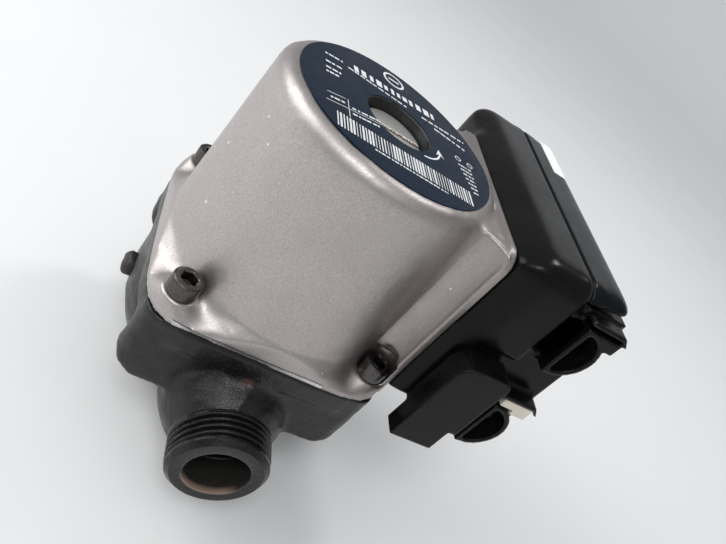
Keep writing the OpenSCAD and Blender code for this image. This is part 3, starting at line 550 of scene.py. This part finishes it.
def aluminium_look():
    """Blasted die-cast aluminium with small nicks; painted shade makes it black inside the vent
    well and darker toward the box, and painted highlights lighten its convex edges.
    """
    look = Look("cast_aluminium", metallic=1.0)
    grain = look.noise(0.5, detail=4, rough=0.6)
    cloud = look.noise(14, detail=3, rough=0.5, seed=3.0)
    nick = look.fit(look.specks(8.0, 1.7), 0.03, 0.05, 1.0, 0.0)
    for place in SHELL_NICKS:
        nick = look.math("MAXIMUM", nick, look.near(place, 0.35, 0.6))
    # painted shade: the shell darkens toward +X, beside the terminal box, patchy with the cloud
    # noise
    box_side_shade = look.math(
        "MULTIPLY",
        look.fit(look.axis("X"), 0.0, 36.0, 0.0, 0.6),
        look.fit(cloud, 0.2, 0.6, 0.6, 1.0),
    )
    tone = look.mix(look.fit(grain, 0.32, 0.7), (0.40, 0.368, 0.359), (0.54, 0.502, 0.491))
    tone = look.mix(look.fit(cloud, 0.45, 0.75, 0.0, 0.35), tone, (0.40, 0.37, 0.355))
    tone = look.mix(box_side_shade, tone, (0.27, 0.24, 0.225))
    # painted highlight: convex edges lightened to near white
    tone = look.mix(look.edges(0.53, 0.62), tone, (0.86, 0.85, 0.84))
    tone = look.mix(nick, tone, (0.8, 0.79, 0.78))
    tone = ground_strip_tone(look, tone)
    # painted shade: the wall of the vent well is near black and not metallic
    well = look.fit(look.radius_about("Z"), VENT_HOLE_R + 0.2, VENT_HOLE_R + 0.5, 1.0, 0.0)
    look.drive("base_color", look.mix(well, tone, (0.012, 0.012, 0.013)))
    look.drive("metallic", look.math("SUBTRACT", 1.0, well))
    rough = look.fit(grain, 0.3, 0.7, 0.5, 0.4)
    look.drive("roughness", look.math("SUBTRACT", rough, look.math("MULTIPLY", nick, 0.15)))
    look.bump(look.noise(0.42, detail=2, rough=0.6, seed=5.0), depth=0.02, strength=0.5)
    look.bump(look.noise(2.4, detail=3, rough=0.5, seed=8.0), depth=0.05, strength=0.5)
    return look.material


def iron_look():
    """Black coated iron, grainy all over, glossier and rusty where water ran down the neck."""
    look = Look("coated_iron", specular_ior_level=0.45)
    grain = look.noise(0.7, detail=4, rough=0.65)
    lump = look.noise(3.2, detail=3, rough=0.55, seed=2.0)
    wet = look.near(NECK_WET_PATCH, 3, 22)
    rust = look.math("MULTIPLY", look.near(NECK_RUST_PATCH, 0.8, 2.8), look.fit(lump, 0.35, 0.6))
    tone = look.mix(look.fit(grain, 0.35, 0.68), (0.003, 0.003, 0.0033), (0.0085, 0.0086, 0.0095))
    tone = look.mix(look.edges(0.55, 0.66), tone, (0.04, 0.039, 0.038))
    look.drive("base_color", look.mix(rust, tone, (0.075, 0.032, 0.018)))
    rough = look.fit(grain, 0.3, 0.7, 0.46, 0.28)
    look.drive("roughness", look.math("SUBTRACT", rough, look.math("MULTIPLY", wet, 0.12)))
    look.bump(grain, depth=0.11, strength=0.8)
    look.bump(lump, depth=0.22, strength=0.6)
    blisters = look.noise(0.8, detail=3, rough=0.6, seed=9.0)
    look.bump(look.math("MULTIPLY", wet, blisters), depth=0.22)
    return look.material


def thread_look():
    """Black coated thread with grey silt in the bore and a brown stain low on its lip."""
    look = Look("thread_iron", specular_ior_level=0.36)
    grain = look.noise(0.5, detail=3, rough=0.6)
    inside = look.fit(look.radius_about("Y"), PORT_BORE_R + 0.3, PORT_BORE_R + 1.2, 1.0, 0.0)
    lip = look.math("MULTIPLY", look.fit(look.axis("Z"), -4.0, -8.0), inside)
    outwards = look.math("ABSOLUTE", look.axis("Y"))
    lip = look.math("MULTIPLY", lip, look.fit(outwards, PORT_END - 2.4, PORT_END - 0.8))
    tone = look.mix(look.fit(grain, 0.3, 0.7), (0.0025, 0.0025, 0.0026), (0.007, 0.007, 0.0074))
    tone = look.mix(look.edges(0.54, 0.64), tone, (0.045, 0.044, 0.043))
    silt = look.noise(2.0, detail=3, rough=0.6, seed=4.0)
    silt = look.mix(silt, (0.010, 0.010, 0.009), (0.034, 0.032, 0.028))
    tone = look.mix(inside, tone, silt)
    look.drive("base_color", look.mix(lip, tone, (0.24, 0.17, 0.13)))
    look.drive("roughness", look.fit(grain, 0.3, 0.7, 0.36, 0.22))
    look.bump(grain, depth=0.05, strength=0.7)
    return look.material


def plastic_look(name, dark, light, rough):
    """Satin moulded plastic with a fine eroded texture and rubbed edges."""
    look = Look(name, specular_ior_level=0.15)
    grain = look.noise(0.35, detail=3, rough=0.6)
    smear = look.noise(16, detail=3, rough=0.6, stretch=(1, 1, 0.4), seed=6.0)
    tone = look.mix(look.fit(smear, 0.35, 0.7), dark, light)
    rubbed = [min(1.0, 2.6 * c + 0.02) for c in light]
    look.drive("base_color", look.mix(look.edges(0.54, 0.66), tone, rubbed))
    shine = look.fit(smear, 0.3, 0.7, rough - 0.05, rough + 0.07)
    look.drive("roughness", look.math("ADD", shine, look.fit(grain, 0.3, 0.7, -0.03, 0.03)))
    look.bump(grain, depth=0.02, strength=0.6)
    return look.material


def metal_look(name, dark, light, rough, stretch=NO_STRETCH, wear=(0.53, 0.62)):
    """Bare metal with a fine grain, dull stains and edges worn bright."""
    look = Look(name, metallic=1.0)
    grain = look.noise(0.3, detail=4, rough=0.6, stretch=stretch)
    stain = look.noise(3.0, detail=3, rough=0.6, seed=7.0)
    tone = look.mix(look.fit(grain, 0.3, 0.7), dark, light)
    tone = look.mix(look.fit(stain, 0.55, 0.8, 0.0, 0.5), tone, [0.5 * c for c in dark])
    look.drive("base_color", look.mix(look.edges(*wear), tone, (0.8, 0.79, 0.77)))
    look.drive("roughness", look.fit(grain, 0.3, 0.7, rough + 0.06, rough - 0.06))
    look.bump(grain, depth=0.02, strength=0.6)
    return look.material


def film_look():
    """Navy label film with a light orange peel and cloudy gloss."""
    look = Look("label_film", specular_ior_level=0.1)
    smear = look.noise(9, detail=3, rough=0.6)
    navy = look.mix(look.fit(smear, 0.35, 0.7), (0.0008, 0.0085, 0.023), (0.0015, 0.0125, 0.032))
    look.drive("base_color", navy)
    look.drive("roughness", look.fit(smear, 0.3, 0.7, 0.26, 0.4))
    look.bump(look.noise(1.1, detail=2, rough=0.5, seed=2.0), depth=0.012, strength=0.6)
    return look.material


def rubber_look():
    """Dull black rubber."""
    look = Look("rubber", specular_ior_level=0.3)
    grain = look.noise(0.6, detail=3, rough=0.6)
    black = look.mix(look.fit(grain, 0.3, 0.7), (0.007, 0.007, 0.007), (0.02, 0.02, 0.02))
    look.drive("base_color", black)
    look.drive("roughness", look.fit(grain, 0.3, 0.7, 0.62, 0.8))
    look.bump(grain, depth=0.03, strength=0.6)
    return look.material


def wound_look():
    """Enamelled copper wire, wound round and round."""
    look = Look("copper_wire", metallic=0.85)
    strand = look.noise(0.5, detail=2, rough=0.5, stretch=(0.15, 0.15, 1))
    copper = look.mix(look.fit(strand, 0.35, 0.65), (0.30, 0.09, 0.03), (0.68, 0.28, 0.11))
    look.drive("base_color", copper)
    look.drive("roughness", look.fit(strand, 0.3, 0.7, 0.42, 0.26))
    look.bump(strand, depth=0.18, strength=0.8)
    return look.material


def stacked_look():
    """Thin steel sheets stacked along Z."""
    look = Look("lamination_steel", metallic=1.0)
    sheet = look.noise(0.5, detail=1, rough=0.5, stretch=(0.02, 0.02, 1))
    steel = look.mix(look.fit(sheet, 0.35, 0.65), (0.16, 0.165, 0.17), (0.42, 0.43, 0.44))
    look.drive("base_color", steel)
    look.drive("roughness", look.fit(sheet, 0.3, 0.7, 0.5, 0.35))
    look.bump(sheet, depth=0.06, strength=0.7)
    return look.material


def print_look():
    """White ink, a little uneven."""
    look = Look("white_ink")
    grain = look.noise(0.5, detail=2, rough=0.6)
    white = look.mix(look.fit(grain, 0.3, 0.75), (0.74, 0.76, 0.78), (0.90, 0.91, 0.92))
    look.drive("base_color", white)
    look.drive("roughness", look.fit(grain, 0.3, 0.7, 0.36, 0.5))
    return look.material


def vent_look():
    """Turned and plated steel, with brown specks left in the slot."""
    look = Look("vent_steel", metallic=1.0)
    turned = look.noise(0.35, detail=3, rough=0.6)
    across = look.math("ABSOLUTE", look.axis("Y"))
    slot = look.fit(across, VENT_SLOT_HALF, VENT_SLOT_HALF + 0.5, 1.0, 0.0)
    dirt = look.noise(0.8, detail=3, rough=0.6, seed=4.0)
    speck = look.math("MULTIPLY", slot, look.fit(dirt, 0.5, 0.58))
    tone = look.mix(look.fit(turned, 0.3, 0.7), (0.62, 0.61, 0.58), (0.88, 0.87, 0.84))
    look.drive("base_color", look.mix(speck, tone, (0.16, 0.07, 0.03)))
    look.drive("metallic", look.fit(speck, 0.0, 1.0, 1.0, 0.2))
    rough = look.fit(turned, 0.3, 0.7, 0.5, 0.38)
    look.drive("roughness", look.math("ADD", rough, look.math("MULTIPLY", speck, 0.4)))
    look.bump(turned, depth=0.015, strength=0.6)
    return look.material


def looks():
    """Every material, by the record's slot."""
    plastics = {
        "box_plastic": ((0.0028, 0.0027, 0.0027), (0.006, 0.0057, 0.0056), 0.24),
        "lid_plastic": ((0.0022, 0.0026, 0.0034), (0.0045, 0.0055, 0.007), 0.24),
        "cream_plastic": ((0.66, 0.60, 0.50), (0.80, 0.75, 0.64), 0.42),
        "insulator_plastic": ((0.55, 0.50, 0.36), (0.68, 0.63, 0.48), 0.45),
        "paper_white": ((0.54, 0.55, 0.56), (0.66, 0.67, 0.68), 0.5),
        "board_laminate": ((0.012, 0.075, 0.028), (0.03, 0.13, 0.055), 0.32),
        "capacitor_sleeve": ((0.012, 0.016, 0.03), (0.02, 0.028, 0.05), 0.3),
        "film_yellow": ((0.62, 0.40, 0.05), (0.78, 0.54, 0.09), 0.4),
        "black_component": ((0.012, 0.012, 0.013), (0.024, 0.024, 0.025), 0.4),
        "fuse_body": ((0.66, 0.64, 0.60), (0.80, 0.78, 0.74), 0.3),
        "terminal_plastic": ((0.03, 0.10, 0.055), (0.05, 0.16, 0.08), 0.42),
        "ceramic": ((0.72, 0.71, 0.67), (0.84, 0.83, 0.79), 0.25),
        "carbon": ((0.018, 0.018, 0.02), (0.04, 0.04, 0.042), 0.45),
    }
    metals = {
        "stainless": ((0.42, 0.42, 0.43), (0.68, 0.68, 0.69), 0.32),
        "plain_aluminium": ((0.50, 0.50, 0.51), (0.72, 0.72, 0.73), 0.36, DRAWN_ALONG_Z),
        "screw_steel": ((0.05, 0.047, 0.045), (0.14, 0.134, 0.128), 0.3, NO_STRETCH, (0.56, 0.68)),
        "zinc_steel": ((0.40, 0.39, 0.35), (0.62, 0.61, 0.57), 0.34),
        "brass": ((0.42, 0.27, 0.08), (0.70, 0.50, 0.20), 0.3),
        "contact_metal": ((0.48, 0.33, 0.11), (0.76, 0.58, 0.25), 0.28),
        "plug_iron": ((0.03, 0.027, 0.026), (0.12, 0.11, 0.105), 0.58),
    }
    made = {slot: plastic_look(slot, *values) for slot, values in plastics.items()}
    made |= {slot: metal_look(slot, *values) for slot, values in metals.items()}
    made |= {
        "coated_iron": iron_look(),
        "cast_aluminium": aluminium_look(),
        "vent_steel": vent_look(),
        "label_film": film_look(),
        "rubber_black": rubber_look(),
        "copper_wire": wound_look(),
        "lamination_steel": stacked_look(),
    }
    return made


# ---------- pieces ----------

SLOTS = {part["node"]: part["material_slot"] for part in frame["record"]["subparts"]}
BODIES = {
    node: body for body, nodes in frame["record"]["behaviour"]["bodies"].items() for node in nodes
}
LOOKS = looks()


def stand_in(ob, node, material=None):
    """Shows ob in place of a CAD node, on that node's body and in its finish."""
    ob.data.materials.clear()
    ob.data.materials.append(material or LOOKS[SLOTS[node]])
    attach(ob, BODIES[node])
    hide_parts(node)
    return ob


def added(ob, body, material):
    """Shows ob as detail on a body, beside the CAD nodes."""
    ob.data.materials.clear()
    ob.data.materials.append(material)
    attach(ob, body)
    return ob


def surface_points(ob, points, spacing=0.7):
    """Points along a polyline, moved onto the nearest surface of ob."""
    path = []
    for a, b in zip(points, points[1:]):
        a, b = Vector(a), Vector(b)
        count = max(2, int((b - a).length / spacing))
        path += [a.lerp(b, i / count) for i in range(count)]
    path.append(Vector(points[-1]))
    return [ob.closest_point_on_mesh(p * MM)[1] / MM for p in path]


def weld_ridge(ob, points, radius, sides=8):
    """Adds a rounded ridge along the surface of ob, thinner at its ends."""
    path = surface_points(ob, points)
    rings = []
    for i, p in enumerate(path):
        along = (path[min(i + 1, len(path) - 1)] - path[max(i - 1, 0)]).normalized()
        u = along.orthogonal().normalized()
        v = along.cross(u)
        taper = min(1.0, RIDGE_TIP + RIDGE_TAPER * min(i, len(path) - 1 - i))
        r = radius * taper
        turns = [2 * math.pi * k / sides for k in range(sides)]
        rings.append([p + (u * math.cos(t) + v * math.sin(t)) * r for t in turns])
    ridge = rings_mesh("ridge", rings)
    bm = bmesh.new()
    bm.from_mesh(ridge.data)
    bmesh.ops.holes_fill(bm, edges=[e for e in bm.edges if e.is_boundary])
    bmesh.ops.recalc_face_normals(bm, faces=bm.faces)
    bm.to_mesh(ridge.data)
    bm.free()
    return carve(ob, ridge, "UNION")


def shell_weight(p):
    """Keeps the shell's flat frame and the foot of its flange nearly crisp."""
    frame_side = step(p[:, 0], FRAME_X - 4, FRAME_X - 2)
    foot = 1 - step(p[:, 2], FOOT_Z + 0.2, FOOT_Z + 1.4)
    return 1 - np.maximum(0.75 * frame_side, 0.88 * foot)


def around_screws(p):
    """Picks the slopes round the screw seats, above the flange and away from the frame."""
    across = np.hypot(np.abs(p[:, 0]) - SCREW_PITCH, np.abs(p[:, 1]) - SCREW_PITCH)
    ring = step(across, SEAT_R - 0.2, SEAT_R + 0.8) * (1 - step(across, 15.0, 20.0))
    frame_side = 1 - step(p[:, 0], FRAME_X - 4, FRAME_X - 2)
    return ring * frame_side * step(p[:, 2], FOOT_Z, FOOT_Z + 1.2)


def shell_skin(p):
    """Leaves the machined frame smoother than the rest."""
    return 1 - 0.8 * step(p[:, 0], FRAME_X - 4, FRAME_X - 3)


def motor_shell():
    """Die-cast motor shell with its parting flash and the strip ground along its flange."""
    shell = cad_copy("motor_housing", "motor_shell")
    for points, radius in MOTOR_RIDGES:
        weld_ridge(shell, points, radius)
    (xa, ya), (xb, yb) = GROUND_STRIP
    outer_a, outer_b = ya - GROUND_STRIP_WIDTH, yb - GROUND_STRIP_WIDTH
    strip = [(xa, ya), (xb, yb), (xb, outer_b), (xa, outer_a)]
    carve(shell, prism("strip", strip, *GROUND_STRIP_Z))
    remeshed(shell, voxel=0.55, passes=5, weight=shell_weight)
    relax(shell, passes=60, weight=around_screws)
    thinned(shell)
    roughen(shell, size=3.0, depth=0.06, seed=4.0, where=shell_skin)
    return stand_in(smooth(shell), "motor_housing")


def casting_weight(p):
    """Keeps the flange's machined face and the cut ends of the necks crisp."""
    flange = step(p[:, 2], FLANGE_TOP - 2.4, FLANGE_TOP - 0.8)
    cut = step(np.abs(p[:, 1]), NECK_END - 1.0, NECK_END - 0.4)
    return 1 - np.maximum(0.85 * flange, cut)


def casting_skin(p):
    """Picks the skin as cast, away from the cut ends and the flange's face."""
    ends = step(np.abs(p[:, 1]), NECK_END - 1.5, NECK_END - 0.5)
    return (1 - ends) * (1 - step(p[:, 2], FLANGE_TOP - 2, FLANGE_TOP - 1))


def pump_casting():
    """Sand-cast pump body between its threaded ends, with soft corners and a grainy skin."""
    casting = cad_copy("pump_housing", "pump_casting")
    weld_ridge(casting, NECK_RIDGE, NECK_RIDGE_R)
    for side in (-1, 1):
        y0, y1 = sorted((side * NECK_END, side * (PORT_END + NECK_CUT_SPARE)))
        end = block((-NECK_CUT, y0, -NECK_CUT), (NECK_CUT, y1, NECK_CUT), "end")
        carve(casting, end)
    remeshed(casting, voxel=0.8, passes=12, weight=casting_weight)
    thinned(casting)
    roughen(casting, size=5.0, depth=0.22, seed=7.0, where=casting_skin)
    roughen(casting, size=1.6, depth=0.1, seed=12.0, where=casting_skin)
    return stand_in(smooth(casting), "pump_housing")


def thread_radius(turn, y):
    """Radius of the pipe thread at a share of a turn and a distance from the body's centre."""
    wave = abs(((y / THREAD_PITCH - turn) % 1.0) * 2 - 1)
    form = float(step(wave, *THREAD_FLANK))
    run_in = float(step(y, THREAD_START, THREAD_START + THREAD_RUN_IN))
    run_out = float(1 - step(y, THREAD_STOP - THREAD_RUN_OUT, THREAD_STOP))
    depth = THREAD_DEPTH * (1 - form) * run_in * run_out
    plain = THREAD_R - THREAD_RELIEF * (1 - run_out)
    chamfer = THREAD_R + PORT_END - THREAD_CHAMFER - y
    return min(plain - depth, chamfer)


def threaded_port(side):
    """The threaded end of one port. side is -1 at the inlet and 1 at the outlet."""
    shares = [i / PORT_STEPS for i in range(PORT_STEPS)]
    turns = [2 * math.pi * i / PORT_STEPS for i in range(PORT_STEPS)]
    rings = []

    def ring(radii, y):
        rings.append([(r * math.cos(t), side * y, r * math.sin(t)) for r, t in zip(radii, turns)])

    for i in range(PORT_ROWS + 1):
        y = NECK_END + (PORT_END - NECK_END) * i / PORT_ROWS
        ring([thread_radius(share, y) for share in shares], y)
    for past_bore, inwards in PORT_RIM:
        ring([PORT_BORE_R + past_bore] * PORT_STEPS, PORT_END - inwards)
    ring([PORT_BORE_R] * PORT_STEPS, NECK_END)
    name = "inlet_thread" if side < 0 else "outlet_thread"
    port = smooth(rings_mesh(name, rings, close=True), angle=40)
    roughen(port, size=1.2, depth=0.045, seed=20.0 + side)
    return stand_in(port, "pump_housing", thread_look())


def socket_screw():
    """One socket screw on the Z axis: a threaded shank, a chamfered head and a hexagon in it."""
    lo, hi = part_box("housing_screws")
    bottom, top = lo.z / MM, hi.z / MM
    turns = [2 * math.pi * i / SCREW_STEPS for i in range(SCREW_STEPS)]
    rings = []

    def circle(r, z):
        rings.append([(r * math.cos(t), r * math.sin(t), z) for t in turns])

    def hexagon(r, z):
        wedge = math.pi / 3
        across = [r * math.cos(wedge / 2) / math.cos((t % wedge) - wedge / 2) for t in turns]
        rings.append([(a * math.cos(t), a * math.sin(t), z) for a, t in zip(across, turns)])

    circle(SCREW_SHANK_R - SCREW_POINT, bottom)
    circle(SCREW_SHANK_R, bottom + SCREW_POINT)
    z = bottom + SCREW_THREAD_PITCH
    while z < SCREW_SEAT_Z - SCREW_GRIP:
        circle(SCREW_SHANK_R, z)
        circle(SCREW_SHANK_R - SCREW_THREAD_DEPTH, z + SCREW_THREAD_PITCH / 2)
        z += SCREW_THREAD_PITCH
    circle(SCREW_SHANK_R, SCREW_SEAT_Z - SCREW_GRIP)
    circle(SCREW_SHANK_R, SCREW_SEAT_Z)
    circle(SCREW_HEAD_R - SCREW_UNDERCUT, SCREW_SEAT_Z)
    circle(SCREW_HEAD_R, SCREW_SEAT_Z + SCREW_UNDERCUT)
    for inwards, down in SCREW_HEAD_EDGE:
        circle(SCREW_HEAD_R - inwards, top - down)
    circle(SCREW_HEX_R + SCREW_HEX_CHAMFER, top)
    hexagon(SCREW_HEX_R, top - SCREW_HEX_CHAMFER)
    hexagon(SCREW_HEX_R, top - SCREW_HEX_DEPTH)
    tip_r, tip_drop = SCREW_HEX_TIP
    hexagon(tip_r, top - SCREW_HEX_DEPTH - tip_drop)
    return rings_mesh("screw", rings)


def socket_screws():
    """Four socket screws, each turned its own way."""
    one = socket_screw()
    verts, faces = [], []
    spin = random.Random(3)
    for x in (-SCREW_PITCH, SCREW_PITCH):
        for y in (-SCREW_PITCH, SCREW_PITCH):
            place = Matrix.Translation((x, y, 0)) @ Matrix.Rotation(spin.uniform(0, 1), 4, "Z")
            base = len(verts)
            verts += [place @ (v.co / MM) for v in one.data.vertices]
            faces += [tuple(base + i for i in f.vertices) for f in one.data.polygons]
    bpy.data.objects.remove(one)
    screws = smooth(new_object("socket_screws", verts, faces), angle=28)
    return stand_in(screws, "housing_screws")


def softened(node, name, voxel, passes, weight=None, grain=0.0, rounder=None):
    """The shape of a CAD node with its edges rounded, as moulded or turned."""
    ob = remeshed(cad_copy(node, name), voxel, passes, weight)
    if rounder:
        relax(ob, ROUNDER_PASSES, rounder)
    thinned(ob)
    if grain:
        roughen(ob, size=2.4, depth=grain, seed=30.0)
    return stand_in(smooth(ob), node)


def base_weight(p):
    """Keeps the base's rim at the seam nearly crisp."""
    return 1 - 0.8 * step(p[:, 0], SEAM_X - 1.4, SEAM_X - 0.8)


def base_rounder(p):
    """Picks the base's upper corners, away from the seam."""
    away = 1 - step(p[:, 0], SEAM_X - 5.0, SEAM_X - 2.0)
    return away * step(p[:, 2], BOX_SOFT_Z, BOX_SOFT_Z + 4.0)


def lid_weight(p):
    """Keeps the lid's rim at the seam nearly crisp."""
    return 0.2 + 0.8 * step(p[:, 0], LID_X0 + 0.8, LID_X0 + 1.6)


def lid_rounder(p):
    """Picks the lid's outer edges."""
    return step(p[:, 0], LID_X0 + 4.0, LID_X0 + 8.0)


def small_pieces():
    """Moulded, cast and turned pieces that keep their CAD shape, with rounded edges."""
    softened("casting_plug", "casting_boss", voxel=0.3, passes=5, grain=0.28)
    softened("vent_screw", "vent_plug", voxel=0.22, passes=2)
    softened("terminal_box_base", "box_base", 0.6, 5, base_weight, rounder=base_rounder)
    softened("terminal_box_lid", "box_lid", 0.6, 5, lid_weight, rounder=lid_rounder)
    softened("plug_cover", "cable_cover", voxel=0.4, passes=4)
    softened("key_tab", "key", voxel=0.22, passes=4)


# ---------- print on the nameplate ----------


class Print:
    """Flat bars of ink on the nameplate."""

    def __init__(self, seed):
        self.verts = []
        self.faces = []
        self.random = random.Random(seed)

    def patch(self, corners):
        """A thin patch over four corners, each x and y."""
        base = len(self.verts)
        z0, z1 = LABEL_Z - INK_SUNK, LABEL_Z + INK_T
        self.verts += [(x, y, z0) for x, y in corners] + [(x, y, z1) for x, y in corners]
        top = tuple(base + 4 + i for i in range(4))
        bottom = tuple(base + i for i in (3, 2, 1, 0))
        sides = [
            (base + i, base + (i + 1) % 4, base + 4 + (i + 1) % 4, base + 4 + i) for i in range(4)
        ]
        self.faces += [top, bottom, *sides]

    def bar(self, start, end, height):
        """A bar from start to end."""
        a, b = Vector(start), Vector(end)
        across = (b - a).normalized().orthogonal() * (height / 2)
        self.patch([a - across, b - across, b + across, a + across])

    def words(self, start, end, height, mean):
        """A line of short bars, in place of a line of small print."""
        a, b = Vector(start), Vector(end)
        length = (b - a).length
        at = 0.0
        while at < length:
            run = min(length, at + mean * self.random.uniform(*WORD_SPREAD))
            self.bar(a.lerp(b, at / length), a.lerp(b, run / length), height)
            at = run + mean * self.random.uniform(*WORD_GAP)

    def arc(self, centre, radius, first, last, height, count):
        """A row of bars round an arc. Angles are in degrees."""
        turns = [math.radians(first + (last - first) * i / count) for i in range(count + 1)]
        points = [Vector(centre) + radius * Vector((math.cos(t), math.sin(t))) for t in turns]
        for start, end in zip(points, points[1:]):
            self.bar(start, end, height)


def barcode(ink):
    """A row of bars whose widths say nothing."""
    (x0, width), (y0, y1) = BARCODE_X, BARCODE_Y
    for k in range(BARCODE_BARS):
        x = x0 + width * k / BARCODE_BARS
        ink.bar((x, y0), (x, y1), ink.random.choice(BARCODE_WIDTHS))
    ink.words((-12, -26.4), (14, -26.4), 0.7, 1.2)


def rating_table(ink):
    """Ruled lines with small print between them."""
    for start, end in RATING_RULES:
        ink.bar(start, end, RULE_WIDTH)
    for line in RATING_WORDS:
        ink.words(*line)


def heading(ink):
    """A row of heavy bars in place of a name, with short lines on its left."""
    for y, x1 in HEADING_LINES:
        ink.words((-27, y - 0.6), (x1, y + 0.4), 0.9, 1.6)
    x = HEADING_X
    for _ in range(HEADING_BARS):
        width = ink.random.uniform(1.2, 2.4)
        height = ink.random.choice((2.8, 3.4, 3.8))
        start = (x, HEADING_Y + HEADING_SLOPE * x)
        end = (x + width, HEADING_Y + HEADING_SLOPE * (x + width))
        ink.bar(start, end, height)
        x += width + ink.random.uniform(0.9, 1.5)


def small_print(ink):
    """Lines of small print and two plain rings."""
    for line in SMALL_PRINT:
        ink.words(*line)
    for x in (23.6, 28.6):
        ink.arc((x, 0.7), 1.1, 0, 360, 0.35, 12)
    for k in range(7):
        y = -2.6 - 2.2 * k
        ink.words((23.0 + 0.55 * k, y - 0.4), (28.6, y), 0.7, 1.2)


def emblem_and_arrow(ink):
    """A plain ring with a bar, and a curved arrow round the vent hole."""
    ink.arc(*EMBLEM)
    ink.bar(*EMBLEM_BAR)
    ink.arc(*TURN_ARROW)
    ink.patch(TURN_ARROW_HEAD)


def nameplate_print():
    """All of the print, as one piece."""
    ink = Print(11)
    barcode(ink)
    rating_table(ink)
    heading(ink)
    small_print(ink)
    emblem_and_arrow(ink)
    mesh = new_object("nameplate_print", ink.verts, ink.faces)
    return added(mesh, BODY, print_look())


# ---------- floor, lights and camera ----------


def pale_floor():
    """A pale floor that sweeps up all round, far away."""
    profile = [(0.0, 0.0), (0.1 * FLOOR_R, 0.0), (FLOOR_R, 0.0)]
    for i in range(1, SWEEP_STEPS + 1):
        t = i * math.pi / (2 * SWEEP_STEPS)
        profile.append((FLOOR_R + SWEEP_R * math.sin(t), SWEEP_R * (1 - math.cos(t))))
    turns = [2 * math.pi * i / FLOOR_STEPS for i in range(FLOOR_STEPS)]
    rings = [[(r * math.cos(t), r * math.sin(t), FLOOR_Z + h) for t in turns] for r, h in profile]
    floor = smooth(rings_mesh("floor", rings))
    look = Look("floor", roughness=0.8)
    look.drive("base_color", look.mix(look.noise(90), (0.86, 0.86, 0.86), (0.90, 0.90, 0.895)))
    floor.data.materials.append(look.material)


def surroundings():
    """Pale surroundings, brighter towards one side."""
    world = bpy.data.worlds.new("studio")
    world.use_nodes = True
    tree = world.node_tree
    place = tree.nodes.new("ShaderNodeTexCoord").outputs["Generated"]
    facing = tree.nodes.new("ShaderNodeVectorMath")
    facing.operation = "DOT_PRODUCT"
    tree.links.new(place, facing.inputs[0])
    facing.inputs[1].default_value = Vector(BRIGHT_SIDE).normalized()
    level = tree.nodes.new("ShaderNodeMapRange")
    tree.links.new(facing.outputs["Value"], level.inputs[0])
    for i, value in enumerate((*WORLD_RANGE, *WORLD_LIGHT)):
        level.inputs[i + 1].default_value = value
    background = tree.nodes["Background"]
    background.inputs["Color"].default_value = WORLD_COLOUR
    tree.links.new(level.outputs[0], background.inputs["Strength"])
    bpy.context.scene.world = world


def lamps():
    """Soft round lamps aimed at the object."""
    for name, towards, distance, size, watts in LAMPS:
        lamp = bpy.data.lights.new(name, "AREA")
        lamp.shape = "DISK"
        lamp.size = size
        lamp.energy = watts
        ob = bpy.data.objects.new(name, lamp)
        aim = Vector(towards).normalized()
        ob.location = OBJECT_CENTRE * MM + aim * distance
        ob.rotation_euler = aim.to_track_quat("Z", "Y").to_euler()
        bpy.context.scene.collection.objects.link(ob)


def camera():
    """Camera near the pump, above its inlet and rolled well over."""
    data = bpy.data.cameras.new("camera")
    data.lens = CAMERA_LENS
    data.sensor_width = CAMERA_SENSOR
    data.clip_start, data.clip_end = CAMERA_CLIP
    forward = (CAMERA_TARGET - CAMERA_AT).normalized()
    level = forward.cross(Vector((0, 0, 1))).normalized()
    right = Matrix.Rotation(-CAMERA_ROLL, 3, forward) @ level
    up = right.cross(forward)
    pose = Matrix((right, up, -forward)).transposed().to_4x4()
    pose.translation = CAMERA_AT * MM
    ob = bpy.data.objects.new("camera", data)
    ob.matrix_world = pose
    bpy.context.scene.collection.objects.link(ob)
    bpy.context.scene.camera = ob
    bpy.context.scene.view_settings.view_transform = "Standard"


motor_shell()
pump_casting()
threaded_port(-1)
threaded_port(1)
socket_screws()
small_pieces()
nameplate_print()
for node, ob in frame["nodes"].items():
    ob.data.materials.clear()
    ob.data.materials.append(LOOKS[SLOTS[node]])
pale_floor()
surroundings()
lamps()
camera()
